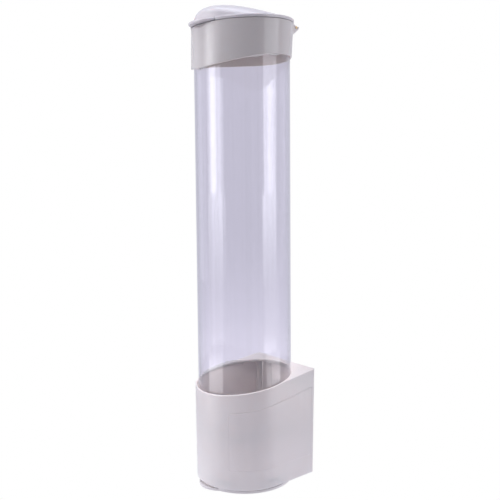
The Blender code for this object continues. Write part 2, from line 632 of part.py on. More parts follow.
def make_claw_mesh(plastic):
    """Build one claw about its pin: a knuckle beside the spring, and a paddle across the whole width."""
    half = CLAW_THICKNESS / 2
    swing = math.asin(half / KNUCKLE_RADIUS)
    round_back = arc((0, 0), KNUCKLE_RADIUS, swing, math.tau - swing, SMALL_SEGMENTS)
    tip = [(CLAW_LENGTH - CLAW_TIP_CHAMFER, -half), (CLAW_LENGTH, -half + CLAW_TIP_CHAMFER),
           (CLAW_LENGTH, half - CLAW_TIP_CHAMFER), (CLAW_LENGTH - CLAW_TIP_CHAMFER, half)]
    root = SPRING_COIL_RADIUS + SPRING_WIRE_RADIUS + 2 * GAP
    left = -CLAW_WIDTH / 2
    claw = side_prism("claw", round_back + tip, left, left + KNUCKLE_LENGTH)
    paddle = side_prism("paddle", [(root, half), (root, -half)] + tip, left + KNUCKLE_LENGTH / 2, CLAW_WIDTH / 2)
    combine(claw, "UNION", paddle)
    hole = rod("hole", PIN_HOLE_RADIUS, (left - OVERRUN, 0, 0), (CLAW_WIDTH / 2, 0, 0), PIN_SEGMENTS)
    combine(claw, "DIFFERENCE", hole)
    finish(claw, plastic)
    mesh = claw.data
    bpy.data.objects.remove(claw, do_unlink=True)
    return mesh


def make_spring_curve(steel):
    """Build the curls of one claw spring, wound about the pin beside the knuckle."""
    curve = bpy.data.curves.new("claw_spring", "CURVE")
    curve.dimensions = "3D"
    curve.bevel_depth = SPRING_WIRE_RADIUS
    curve.bevel_resolution = 1
    curve.use_fill_caps = True
    curve.materials.append(steel)
    start = KNUCKLE_LENGTH - CLAW_WIDTH / 2 + GAP + 2 * SPRING_WIRE_RADIUS
    count = SPRING_TURNS * SPRING_TURN_POINTS + 1
    wire = curve.splines.new("POLY")
    wire.points.add(count - 1)
    for number, point in enumerate(wire.points):
        angle = math.tau * number / SPRING_TURN_POINTS
        along = start + SPRING_PITCH * number / SPRING_TURN_POINTS
        point.co = (along, SPRING_COIL_RADIUS * math.cos(angle), SPRING_COIL_RADIUS * math.sin(angle), 1.0)
    places = [point.co.xyz for point in wire.points]
    apart = min((a - b).length for i, a in enumerate(places) for b in places[i + SPRING_TURN_POINTS // 2:])
    print("Least gap between the curls of a claw spring:", apart - 2 * SPRING_WIRE_RADIUS)
    return curve


def make_claws(ring, plastic, steel):
    """Place the claws, their pins and springs around the ring, each about its own pivot."""
    claw_mesh = make_claw_mesh(plastic)
    spring_curve = make_spring_curve(steel)
    pin = finish(rod("pin", PIN_RADIUS, (-PIN_LENGTH / 2, 0, 0), (PIN_LENGTH / 2, 0, 0), PIN_SEGMENTS), steel)
    pin_mesh = pin.data
    bpy.data.objects.remove(pin, do_unlink=True)
    for number in range(CLAW_COUNT):
        angle = number * CLAW_STEP
        place = (PIVOT_RADIUS * math.sin(angle), -PIVOT_RADIUS * math.cos(angle), PIVOT_LEVEL)
        for kind, data in (("cup_claw", claw_mesh), ("claw_pin", pin_mesh), ("claw_spring", spring_curve)):
            item = bpy.data.objects.new(f"{kind}_{number + 1}", data)
            bpy.context.scene.collection.objects.link(item)
            item.parent = ring
            item.location = place
            item.rotation_euler.z = angle


def main():
    """Build the whole dispenser."""
    clear_scene()
    plastic = make_material("white_plastic", (0.78, 0.76, 0.79), 0.35)
    clear = make_material("clear_plastic", (0.93, 0.92, 0.98), 0.05, transmission=0.95)
    nylon = make_material("claw_nylon", (0.70, 0.69, 0.70), 0.45)
    steel = make_material("steel", (0.62, 0.62, 0.64), 0.30, metallic=1.0)
    brass = make_material("hinge_brass", (0.52, 0.44, 0.33), 0.40, metallic=1.0)
    foam = make_material("pad_foam", (0.86, 0.86, 0.84), 0.90)

    make_base(plastic)
    make_seat(plastic)
    make_screw("seat_screw_left", -BOSS_X, steel)
    make_screw("seat_screw_right", BOSS_X, steel)
    make_pad(foam)
    make_tube(clear)
    make_collar(plastic)
    make_lid(plastic)
    make_hinge_pin("hinge_pin_left", -1, brass)
    make_hinge_pin("hinge_pin_right", 1, brass)
    ring = make_claw_ring(plastic)
    make_claws(ring, nylon, steel)


main()
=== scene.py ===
"""Dress the cup dispenser: moulded base, clear tube, collar, hinged lid and twist-lock claw ring.

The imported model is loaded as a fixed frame. Each sub-assembly below builds its visible pieces in
that frame, in metres, with +Z up, the round front towards -Y and the flat back towards +Y. Angles
round the dispenser are in degrees from the front, and grow towards +X.
"""

from __future__ import annotations

import logging
import math
import random
from collections.abc import Callable, Iterable, Iterator, Sequence
from contextlib import contextmanager
from dataclasses import dataclass
from enum import Enum
from functools import cache

import bmesh
import bpy
from mathutils import Matrix, Vector


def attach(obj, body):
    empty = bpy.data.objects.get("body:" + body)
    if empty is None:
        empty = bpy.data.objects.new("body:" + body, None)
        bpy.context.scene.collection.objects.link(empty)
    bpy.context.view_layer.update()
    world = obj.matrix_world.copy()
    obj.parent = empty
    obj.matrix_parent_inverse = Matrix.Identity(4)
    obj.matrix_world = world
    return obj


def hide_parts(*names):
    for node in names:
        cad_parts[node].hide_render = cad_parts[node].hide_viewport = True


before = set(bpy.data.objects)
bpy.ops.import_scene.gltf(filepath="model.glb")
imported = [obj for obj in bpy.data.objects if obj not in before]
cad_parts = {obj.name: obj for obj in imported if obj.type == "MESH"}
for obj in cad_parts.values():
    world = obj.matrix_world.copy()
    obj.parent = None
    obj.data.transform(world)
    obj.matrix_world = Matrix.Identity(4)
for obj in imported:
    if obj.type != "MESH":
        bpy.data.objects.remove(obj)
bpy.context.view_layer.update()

LOG = logging.getLogger("cup_dispenser")
GAP = 0.0003  # the clearance between pieces that fit together
CUT_PAST = 0.001  # how far a cutting shape runs past what it cuts
SAME = 1e-7  # points nearer than this are one
ENLARGED = 1000  # how much larger a mesh is held for coarse operators
ROUND_STEPS = 192  # the steps of a full turn
SHARP_EDGE = 50  # the least angle of an edge that is rounded, in degrees
AXIS = {"cent": (0, 0, 0), "axis": (0, 0, 1)}
EVEN = (1.0, 1.0, 1.0)  # no stretch, or white

Vert, Edge, Face = bmesh.types.BMVert, bmesh.types.BMEdge, bmesh.types.BMFace
Pair = tuple[float, float]
Triple = tuple[float, float, float]
Where = Callable[[Vector], bool]
Row = Callable[[float], float]


class Slot(Enum):
    """The record's material slots."""

    WHITE = "white_plastic"
    CLEAR = "clear_plastic"
    NYLON = "claw_nylon"
    STEEL = "steel"
    BRASS = "hinge_brass"
    FOAM = "pad_foam"


class Side(Enum):
    """The two sides of the dispenser, by the sign of X."""

    LEFT = -1
    RIGHT = 1


# ---- shader maths


@dataclass(frozen=True)
class Signal:
    """A shader socket that takes part in Python maths."""

    bench: Bench
    socket: bpy.types.NodeSocket

    def maths(self, operation: str, first: Amount, second: Amount) -> Signal:
        """Return a Math node's result."""
        return self.bench.add("ShaderNodeMath", {0: first, 1: second}, operation=operation)

    def __add__(self, other: Amount) -> Signal:
        """Return self + other."""
        return self.maths("ADD", self, other)

    def __radd__(self, other: Amount) -> Signal:
        """Return other + self."""
        return self.maths("ADD", other, self)

    def __sub__(self, other: Amount) -> Signal:
        """Return self - other."""
        return self.maths("SUBTRACT", self, other)

    def __rsub__(self, other: Amount) -> Signal:
        """Return other - self."""
        return self.maths("SUBTRACT", other, self)

    def __mul__(self, other: Amount) -> Signal:
        """Return self * other."""
        return self.maths("MULTIPLY", self, other)

    def __rmul__(self, other: Amount) -> Signal:
        """Return other * self."""
        return self.maths("MULTIPLY", other, self)

    def __pow__(self, other: Amount) -> Signal:
        """Return self ** other."""
        return self.maths("POWER", self, other)

    def __rpow__(self, other: Amount) -> Signal:
        """Return other ** self."""
        return self.maths("POWER", other, self)

    def step_between(self, low: float, high: float) -> Signal:
        """Return a smooth 0 to 1 as the value goes from low to high."""
        span = {"Value": self, "From Min": low, "From Max": high}
        return self.bench.add("ShaderNodeMapRange", span, interpolation_type="SMOOTHSTEP")


Amount = Signal | float
Tint = Signal | Triple


class Bench:
    """The node tree of one material or world, and the one method that adds nodes to it."""

    def __init__(self, tree: bpy.types.NodeTree) -> None:
        """Empty a node tree and keep it."""
        self.tree = tree
        tree.nodes.clear()

    def add(self, kind: str, sockets: dict[str | int, object] | None = None,
            output: str | int = 0, **settings: object) -> Signal:
        """Add a node, with its settings first and its sockets after.

        Args:
            kind: The node's type.
            sockets: A number, a colour or a Signal for each input, by name or number.
            output: The output to return, by name or number.
            **settings: The node's own properties.

        Returns:
            The chosen output.
        """
        node = self.tree.nodes.new(kind)
        for name, value in settings.items():
            setattr(node, name, value)
        for key, value in (sockets or {}).items():
            place = node.inputs[key]
            if isinstance(value, Signal):
                self.tree.links.new(value.socket, place)
            else:
                place.default_value = (*value, 1.0) if place.type == "RGBA" else value
        return Signal(self, node.outputs[output] if node.outputs else None)

    def blend(self, factor: Amount, first: Tint, second: Tint) -> Signal:
        """Return a mix of two colours."""
        return self.add("ShaderNodeMix", {0: factor, 6: first, 7: second}, 2, data_type="RGBA")

    def own(self) -> Signal:
        """Return the piece's own coordinates."""
        return self.add("ShaderNodeTexCoord", output="Object")

    def height(self) -> Signal:
        """Return the height above the piece's origin."""
        return self.add("ShaderNodeSeparateXYZ", {"Vector": self.own()}, "Z")

    def noise(self, scale: float, detail: float = 3.0, stretch: Triple = EVEN) -> Signal:
        """Return a noise from 0 to 1 on the piece's coordinates, of a scale per metre."""
        place = self.add("ShaderNodeMapping", {"Vector": self.own(), "Scale": stretch})
        return self.add("ShaderNodeTexNoise", {"Vector": place, "Scale": scale, "Detail": detail})

    def bump(self, height: Signal, distance: float, strength: float) -> Signal:
        """Return a normal bumped by a height, over a distance in metres."""
        return self.add(
            "ShaderNodeBump", {"Strength": strength, "Distance": distance, "Height": height})

    def glow(self, tone: Tint, strength: float = 1.0) -> Signal:
        """Return a shader that gives off light."""
        return self.add("ShaderNodeEmission", {"Color": tone, "Strength": strength})

    def see_through(self, tone: Triple = EVEN) -> Signal:
        """Return a transparent shader."""
        return self.add("ShaderNodeBsdfTransparent", {"Color": tone})

    def mix(self, share: Amount, first: Signal, second: Signal) -> Signal:
        """Return a mix of two shaders."""
        return self.add("ShaderNodeMixShader", {0: share, 1: first, 2: second})

    def principled(self, sockets: dict[str, object]) -> Signal:
        """Return the general surface shader."""
        return self.add("ShaderNodeBsdfPrincipled", sockets)

    def surface(self, shader: Signal) -> None:
        """Link a shader to the material's output."""
        self.add("ShaderNodeOutputMaterial", {"Surface": shader})


def new_material(name: str, build: Callable[[Bench], Signal]) -> bpy.types.Material:
    """Make a material.

    Args:
        name: Its name.
        build: What adds its nodes and returns its shader.

    Returns:
        The material.
    """
    material = bpy.data.materials.new(name)
    material.use_nodes = True
    bench = Bench(material.node_tree)
    bench.surface(build(bench))
    return material


# ---- finishes


@dataclass(frozen=True)
class Finish:
    """The look that a piece is made in."""

    name: str
    slot: Slot

    def shade(self, bench: Bench) -> Signal:
        """Build the finish's nodes on a bench, and return its shader."""
        raise NotImplementedError


@dataclass(frozen=True)
class MouldedPlastic(Finish):
    """Moulded opaque plastic: a soft sheen, faint clouding, rub marks and a fine skin."""

    tone: Triple = (0.835, 0.782, 0.790)
    warm: Triple = (0.795, 0.732, 0.730)
    speck: Triple = (0.50, 0.45, 0.40)
    roughness: float = 0.34
    skin: float = 0.000012
    wear: float = 0.07
    glow: float = 0.0
    glow_depth: float = 0.0016
    glow_spread: Triple = (1.0, 0.95, 0.92)

    def shade(self, bench: Bench) -> Signal:
        """Build the plastic's nodes.

        Args:
            bench: The material's bench.

        Returns:
            Its shader.
        """
        cloud = bench.noise(26.0, 4.0).step_between(0.42, 0.72)
        rubs = bench.noise(210.0, 5.0, (1.0, 1.0, 0.12)).step_between(0.60, 0.74)
        specks = bench.noise(1900.0, 1.0).step_between(0.80, 0.84)
        clouded = bench.blend(cloud * 0.35, self.tone, self.warm)
        rough = bench.noise(70.0) * (self.wear + 0.01) + rubs * self.wear + (self.roughness - 0.04)
        skin = bench.noise(1400.0, 2.0) + bench.noise(420.0, 2.0) * 0.8
        return bench.principled({
            "Base Color": bench.blend(specks * 0.25, clouded, self.speck),
            "Roughness": rough, "IOR": 1.49, "Subsurface Weight": self.glow,
            "Subsurface Radius": self.glow_spread, "Subsurface Scale": self.glow_depth,
            "Normal": bench.bump(skin, self.skin, 0.6)})


@dataclass(frozen=True)
class ClearPlastic(Finish):
    """Clear drawn tube: a cool tint, reflections at its edges, draw lines and a light haze."""

    tint: Triple = (0.962, 0.958, 0.966)
    gleam_tone: Triple = (0.95, 0.95, 1.0)
    milk: Triple = (0.80, 0.80, 0.86)
    dirt: Triple = (0.55, 0.52, 0.5)
    roughness: float = 0.05
    haze: float = 0.012
    mirrored_head_on: float = 0.044

    def shade(self, bench: Bench) -> Signal:
        """Build the tube's nodes.

        Args:
            bench: The material's bench.

        Returns:
            Its shader.
        """
        facing = bench.add("ShaderNodeLayerWeight", {"Blend": 0.5}, "Facing")
        lines = bench.noise(160.0, 3.0, (1.0, 1.0, 0.015))
        waves = bench.noise(14.0, 2.0, (1.0, 1.0, 0.25))
        gleam = (facing ** 5.0) * (1.0 - self.mirrored_head_on) + self.mirrored_head_on
        scuffs = bench.noise(380.0, 5.0, (1.0, 1.0, 0.3)).step_between(0.66, 0.75)
        dust = bench.noise(900.0, 1.0).step_between(0.83, 0.86)
        low = 1.0 - bench.height().step_between(0.06, 0.34)
        draw = bench.noise(300.0, 3.0, (1.0, 1.0, 0.004)).step_between(0.45, 0.75)
        veil = low * 0.015 + scuffs * 0.03 + dust * 0.4 + draw * 0.022 + self.haze
        gloss = bench.principled({
            "Base Color": self.gleam_tone, "Metallic": 1.0,
            "Normal": bench.bump(lines * 0.5 + waves * 3.0, 0.00004, 0.5),
            "Roughness": scuffs * 0.15 + self.roughness})
        milk = bench.principled({
            "Base Color": bench.blend(dust, self.milk, self.dirt), "Roughness": 0.6})
        return bench.mix(veil, bench.mix(gleam, bench.see_through(self.tint), gloss), milk)


@dataclass(frozen=True)
class SetGlue(Finish):
    """Set adhesive: milky, uneven and half see-through."""

    tint: Triple = (0.96, 0.96, 0.98)
    thin: Triple = (0.99, 0.98, 0.98)
    thick: Triple = (0.97, 0.95, 0.95)
    inner: Triple = (0.98, 0.97, 0.97)
    lit_through: float = 0.72

    def shade(self, bench: Bench) -> Signal:
        """Build the glue's nodes.

        Args:
            bench: The material's bench.

        Returns:
            Its shader.
        """
        cloud = bench.noise(600.0).step_between(0.35, 0.7)
        normal = bench.bump(bench.noise(900.0, 2.0), 0.00005, 0.7)
        milk = bench.principled({
            "Base Color": bench.blend(cloud, self.thin, self.thick), "Coat Weight": 0.6,
            "Roughness": cloud * 0.2 + 0.08, "Normal": normal})
        glow = bench.add("ShaderNodeBsdfTranslucent", {"Color": self.inner, "Normal": normal})
        body = bench.mix(self.lit_through, milk, glow)
        return bench.mix(cloud * 0.2 + 0.55, bench.see_through(self.tint), body)


@dataclass(frozen=True)
class BrushedMetal(Finish):
    """Turned metal: fine rings, dulled in patches."""

    tone: Triple = (0.62, 0.61, 0.60)
    stain: Triple = (0.42, 0.40, 0.38)
    roughness: float = 0.28

    def shade(self, bench: Bench) -> Signal:
        """Build the metal's nodes.

        Args:
            bench: The material's bench.

        Returns:
            Its shader.
        """
        patches = bench.noise(900.0, 4.0).step_between(0.42, 0.70)
        rings = bench.noise(5200.0, 2.0, (1.0, 0.15, 0.15))
        return bench.principled({
            "Base Color": bench.blend(patches, self.tone, self.stain),
            "Metallic": 1.0 - patches * 0.25,
            "Roughness": patches * 0.22 + rings * 0.08 + self.roughness,
            "Normal": bench.bump(rings, 0.00001, 0.5)})


@dataclass(frozen=True)
class ClosedFoam(Finish):
    """Closed-cell foam: off-white, full of small round cells."""

    tone: Triple = (0.88, 0.87, 0.85)
    yellowed: Triple = (0.78, 0.76, 0.73)
    # The darker tone of the painted shade inside the cells' pits.
    pit_shade: Triple = (0.52, 0.50, 0.47)

    def shade(self, bench: Bench) -> Signal:
        """Build the foam's nodes.

        Args:
            bench: The material's bench.

        Returns:
            Its shader.
        """
        cells = bench.add(
            "ShaderNodeTexVoronoi", {"Vector": bench.own(), "Scale": 1500.0}, "Distance")
        cloud = bench.noise(60.0).step_between(0.4, 0.7)
        # Painted shade: the cells' middles are darkened for the shade that falls inside the pits.
        shaded_pits = 1.0 - cells.step_between(0.0, 0.55)
        clouded = bench.blend(cloud * 0.5, self.tone, self.yellowed)
        return bench.principled({
            "Base Color": bench.blend(shaded_pits * 0.35, clouded, self.pit_shade),
            "Roughness": 0.85, "Normal": bench.bump(cells, 0.00025, 0.8)})


@cache
def material_of(finish: Finish) -> bpy.types.Material:
    """Return the finish's material, made once."""
    return new_material(finish.name, finish.shade)


HOUSING_PLASTIC = MouldedPlastic(
    "housing_plastic", Slot.WHITE, roughness=0.30, glow=1.0, glow_depth=0.0017)
COLLAR_PLASTIC = MouldedPlastic(
    "collar_plastic", Slot.WHITE, tone=(0.775, 0.728, 0.735), warm=(0.74, 0.685, 0.68),
    roughness=0.13, skin=0.000006, glow=1.0, glow_depth=0.0009)
# Painted light: the lid's tone is bluer and a little darker than the housing's white, and stands in
# for the cool light that falls on it from above.
LID_PLASTIC_PAINTED_TOP_LIGHT = MouldedPlastic(
    "lid_plastic_painted_top_light", Slot.WHITE, tone=(0.79, 0.750, 0.785), roughness=0.27, skin=0.000004,
    wear=0.02, glow=1.0, glow_depth=0.0012)
RING_PLASTIC = MouldedPlastic("ring_plastic", Slot.WHITE, roughness=0.36)
SEAT_PLASTIC = MouldedPlastic(
    "seat_plastic", Slot.WHITE, tone=(0.78, 0.745, 0.735), roughness=0.45)
NYLON = MouldedPlastic(
    "claw_nylon", Slot.NYLON, tone=(0.76, 0.74, 0.70), warm=(0.70, 0.66, 0.60), roughness=0.5)
TUBE_PLASTIC = ClearPlastic("tube_plastic", Slot.CLEAR)
GLUE = SetGlue("set_glue", Slot.CLEAR)
STEEL = BrushedMetal("screw_steel", Slot.STEEL)
SPRING_STEEL = BrushedMetal("spring_steel", Slot.STEEL, tone=(0.55, 0.55, 0.56), roughness=0.2)
BRASS = BrushedMetal(
    "pin_brass", Slot.BRASS, tone=(0.66, 0.47, 0.24), stain=(0.36, 0.24, 0.13), roughness=0.3)
FOAM = ClosedFoam("pad_foam", Slot.FOAM)


# ---- modelling


def only(kind: type, items: Iterable[object]) -> list:
    """Return the items of one kind."""
    return [item for item in items if isinstance(item, kind)]


def clamp(value: float) -> float:
    """Return a value held between 0 and 1."""
    return min(max(value, 0.0), 1.0)


def from_front(angle: float) -> Pair:
    """Return the X and Y of a direction."""
    return math.sin(math.radians(angle)), -math.cos(math.radians(angle))


class Shape:
    """A bmesh being modelled, with the few operators that the dispenser's pieces need."""

    def __init__(self) -> None:
        """Start with nothing."""
        self.mesh = bmesh.new()

    @contextmanager
    def enlarged(self) -> Iterator[bmesh.types.BMesh]:
        """Hold the mesh larger for a while, because some operators are coarse below a millimetre.

        Yields:
            The mesh.
        """
        bmesh.ops.scale(self.mesh, vec=[ENLARGED] * 3, verts=self.mesh.verts)
        yield self.mesh
        bmesh.ops.scale(self.mesh, vec=[1 / ENLARGED] * 3, verts=self.mesh.verts)

    def inset(self, faces: list[Face], thickness: float, depth: float = 0.0) -> None:
        """Inset a region of faces.

        Args:
            faces: The region.
            thickness: How far its edge moves in.
            depth: How far what is inside moves out.
        """
        with self.enlarged() as mesh:
            mesh.normal_update()
            bmesh.ops.inset_region(
                mesh, faces=faces, thickness=thickness * ENLARGED, depth=depth * ENLARGED,
                use_even_offset=not depth, use_boundary=True)

    def fill(self, edges: list[Edge], normal: Triple) -> None:
        """Fill the flat space between two loops of edges with triangles.

        Args:
            edges: The loops' edges.
            normal: The way that the space faces.
        """
        with self.enlarged() as mesh:
            bmesh.ops.triangle_fill(
                mesh, use_beauty=True, use_dissolve=False, edges=edges, normal=normal)

    def split(self, point: Triple, across: Vector, faces: list[Face]) -> None:
        """Split faces along a plane.

        Args:
            point: A point of the plane.
            across: The plane's normal.
            faces: The faces.
        """
        edges = [edge for face in faces for edge in face.edges]
        verts = [vert for face in faces for vert in face.verts]
        with self.enlarged() as mesh:
            bmesh.ops.bisect_plane(
                mesh, geom=list(dict.fromkeys([*faces, *edges, *verts])), dist=SAME * ENLARGED,
                plane_co=Vector(point) * ENLARGED, plane_no=across)

    def open_edges(self, level: Row) -> list[Edge]:
        """Return the open edges that lie at a level, which may change with the depth."""
        return [edge for edge in self.mesh.edges if edge.is_boundary
                and all(abs(vert.co.z - level(vert.co.y)) < SAME for vert in edge.verts)]

    def thicken(self, face: Face, move: Triple) -> Shape:
        """Give a face a thickness.

        Args:
            face: The face.
            move: The way from it to its moved copy.

        Returns:
            This shape.
        """
        grown = only(Vert, bmesh.ops.extrude_face_region(self.mesh, geom=[face])["geom"])
        bmesh.ops.translate(self.mesh, verts=grown, vec=move)
        return self.face_out()

    def lathe(self, points: Sequence[Triple], closed: bool = True) -> Shape:
        """Turn a profile about the Z axis.

        Args:
            points: Radius, height and rounding of each corner.
            closed: Whether the profile is a closed loop, and not one from the axis back to it.

        Returns:
            This shape.
        """
        mesh = self.mesh
        verts = [mesh.verts.new((radius, 0.0, height)) for radius, height, _ in points]
        for pair in zip(verts, [*verts[1:], verts[0]] if closed else verts[1:]):
            mesh.edges.new(pair)
        mesh.faces.new(verts)
        for vert, (_, _, rounding) in zip(verts, points):
            if rounding:
                self.round_corners([vert], rounding, 4)
        (face,) = mesh.faces
        on_axis = [edge for edge in face.edges
                   if not closed and all(abs(vert.co.x) < SAME for vert in edge.verts)]
        bmesh.ops.delete(mesh, geom=[face], context="FACES_ONLY")
        bmesh.ops.delete(mesh, geom=on_axis, context="EDGES_FACES")
        bmesh.ops.spin(mesh, geom=[*mesh.verts, *mesh.edges], **AXIS, angle=math.tau,
                       steps=ROUND_STEPS, use_merge=True)
        bmesh.ops.remove_doubles(mesh, verts=mesh.verts, dist=SAME)
        return self.face_out()

    def round_corners(self, corners: list[Vert], offset: float, segments: int) -> None:
        """Round corners of a flat face."""
        bmesh.ops.bevel(self.mesh, geom=corners, offset=offset, offset_type="OFFSET",
                        segments=segments, profile=0.5, affect="VERTICES", material=-1)

    def sweep(self, section: Iterable[Pair], first: float, last: float, steps: int = 8) -> Shape:
        """Turn a flat section about the Z axis, through part of a circle.

        Args:
            section: Radius and height of each corner.
            first: The angle where it starts.
            last: The angle where it ends.
            steps: The number of steps between.

        Returns:
            This shape.
        """
        mesh = self.mesh
        face = mesh.faces.new([mesh.verts.new((radius, 0.0, height)) for radius, height in section])
        start = Matrix.Rotation(math.radians(first - 90), 4, "Z")
        bmesh.ops.transform(mesh, matrix=start, verts=face.verts)
        bmesh.ops.spin(mesh, geom=[face], **AXIS, angle=math.radians(last - first), steps=steps)
        return self

    def sector(self, radii: Pair, levels: Pair, middle: float, half: float) -> Shape:
        """Add a block of a ring.

        Args:
            radii: Its inner and outer radius.
            levels: Its lower and upper level.
            middle: The angle of its middle.
            half: Half the angle that it spans.

        Returns:
            This shape.
        """
        (inner, outer), (low, high) = radii, levels
        section = [(inner, low), (outer, low), (outer, high), (inner, high)]
        return self.sweep(section, middle - half, middle + half)

    def rod(self, radius: float, start: Triple, end: Triple, segments: int) -> Shape:
        """Add a round bar between two points.

        Args:
            radius: The bar's radius.
            start: The middle of one end.
            end: The middle of the other end.
            segments: The number of its sides.

        Returns:
            This shape.
        """
        span, middle = Vector(end) - Vector(start), (Vector(start) + Vector(end)) / 2
        turn = span.to_track_quat("Z", "Y").to_matrix().to_4x4()
        bmesh.ops.create_cone(
            self.mesh, cap_ends=True, segments=segments, radius1=radius, radius2=radius,
            depth=span.length, matrix=Matrix.Translation(middle) @ turn)
        return self

    def block(self, low: Triple, high: Triple) -> Shape:
        """Add a box.

        Args:
            low: Its lowest corner.
            high: Its highest corner.

        Returns:
            This shape.
        """
        size, middle = Vector(high) - Vector(low), (Vector(high) + Vector(low)) / 2
        place = Matrix.Translation(middle) @ Matrix.Diagonal((*size, 1.0))
        bmesh.ops.create_cube(self.mesh, size=1.0, matrix=place)
        return self

    def disc(self, segments: int, place: Matrix, radius: float = 1.0) -> Face:
        """Add a flat disc.

        Args:
            segments: The number of its sides.
            place: Its place.
            radius: Its radius, before it is placed.

        Returns:
            Its face.
        """
        ring = bmesh.ops.create_circle(self.mesh, cap_ends=True, segments=segments, radius=radius,
                                       matrix=place)["verts"]
        return ring[0].link_faces[0]

    def fold(self, rule: Callable[[Vector], Vector], where: Where = lambda point: True) -> Shape:
        """Move vertices by a rule.

        Args:
            rule: Where a point goes.
            where: Which points move.

        Returns:
            This shape.
        """
        for vert in self.mesh.verts:
            if where(vert.co):
                vert.co = rule(vert.co.copy())
        return self

    def soften(self, width: float, where: Where = lambda point: True, segments: int = 3) -> Shape:
        """Round the sharp edges of a region.

        Args:
            width: The rounding's width.
            where: Which edges, by their middle.
            segments: The rounding's steps.

        Returns:
            This shape.
        """
        edges = [edge for edge in self.mesh.edges
                 if edge.is_manifold and edge.calc_face_angle(0.0) > math.radians(SHARP_EDGE)
                 and where((edge.verts[0].co + edge.verts[1].co) / 2)]
        with self.enlarged() as mesh:
            bmesh.ops.bevel(
                mesh, geom=edges, offset=width * ENLARGED, offset_type="OFFSET", segments=segments,
                profile=0.5, affect="EDGES", clamp_overlap=False, loop_slide=True, material=-1)
        return self

    def cut(self, *tools: Shape) -> Shape:
        """Cut other shapes from this one.

        Args:
            *tools: The shapes to cut away.

        Returns:
            This shape.
        """
        body = self.as_object("body_being_cut")
        for tool in tools:
            cutter = tool.as_object("cutter")
            modifier = body.modifiers.new("cut", "BOOLEAN")
            modifier.operation, modifier.solver, modifier.object = "DIFFERENCE", "EXACT", cutter
            bpy.context.view_layer.update()
            state = bpy.context.evaluated_depsgraph_get()
            result = bpy.data.meshes.new_from_object(body.evaluated_get(state))
            body.modifiers.clear()
            body.data = result
            bpy.data.objects.remove(cutter, do_unlink=True)
        self.mesh = bmesh.new()
        self.mesh.from_mesh(body.data)
        bpy.data.objects.remove(body, do_unlink=True)
        bmesh.ops.remove_doubles(self.mesh, verts=self.mesh.verts, dist=SAME)
        return self

    def add(self, other: Shape) -> Shape:
        """Take in another shape's mesh as it is.

        Args:
            other: The other shape.

        Returns:
            This shape.
        """
        spare = bpy.data.meshes.new("spare")
        other.mesh.to_mesh(spare)
        self.mesh.from_mesh(spare)
        bpy.data.meshes.remove(spare)
        return self

    def face_out(self) -> Shape:
        """Point every face outwards."""
        bmesh.ops.recalc_face_normals(self.mesh, faces=self.mesh.faces)
        return self

    def as_object(self, name: str) -> bpy.types.Object:
        """Turn the shape into an object of the scene.

        Args:
            name: The object's name.

        Returns:
            The object.
        """
        mesh = bpy.data.meshes.new(name)
        self.mesh.to_mesh(mesh)
        self.mesh.free()
        return into_scene(name, mesh)


def into_scene(name: str, data: bpy.types.ID) -> bpy.types.Object:
    """Put a mesh, a light or a camera into the scene.

    Args:
        name: The name of its object.
        data: The mesh, light or camera.

    Returns:
        The object.
    """
    item = bpy.data.objects.new(name, data)
    bpy.context.scene.collection.objects.link(item)
    return item


def make_piece(shape: Shape, name: str, body: str, finish: Finish, replaces: Sequence[str] = (),
               smooth: float = 38.0) -> None:
    """Turn a shape into a finished piece of the dispenser.

    Args:
        shape: The modelled shape.
        name: The piece's name.
        body: The body that it rides on.
        finish: Its finish.
        replaces: The CAD nodes that it stands for.
        smooth: The angle up to which faces shade as one, in degrees.
    """
    item = shape.as_object(name)
    item.data.materials.append(material_of(finish))
    item.data.shade_smooth()
    item.data.set_sharp_from_angle(angle=math.radians(smooth))
    weighted = item.modifiers.new("even_normals", "WEIGHTED_NORMAL")
    weighted.keep_sharp = True
    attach(item, body)
    if replaces:
        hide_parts(*replaces)
    LOG.info("%s: %d faces on %s", name, len(item.data.polygons), body)


def dress_node(name: str, finish: Finish, edge: float = 0.0) -> None:
    """Give a carried-over CAD node its finish, and round its edges.

    Args:
        name: The node's name.
        finish: Its finish.
        edge: The width of its rounded edges, or 0 for none.
    """
    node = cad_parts[name]
    for place in node.material_slots:
        place.material = material_of(finish)
    if edge:
        weld = node.modifiers.new("weld", "WELD")
        weld.merge_threshold = 1e-6
        bevel = node.modifiers.new("edges", "BEVEL")
        bevel.width, bevel.segments, bevel.limit_method = edge, 2, "ANGLE"
        bevel.angle_limit, bevel.use_clamp_overlap = math.radians(38), True
    LOG.info("%s: CAD node in %s", name, finish.name)


# ---- base


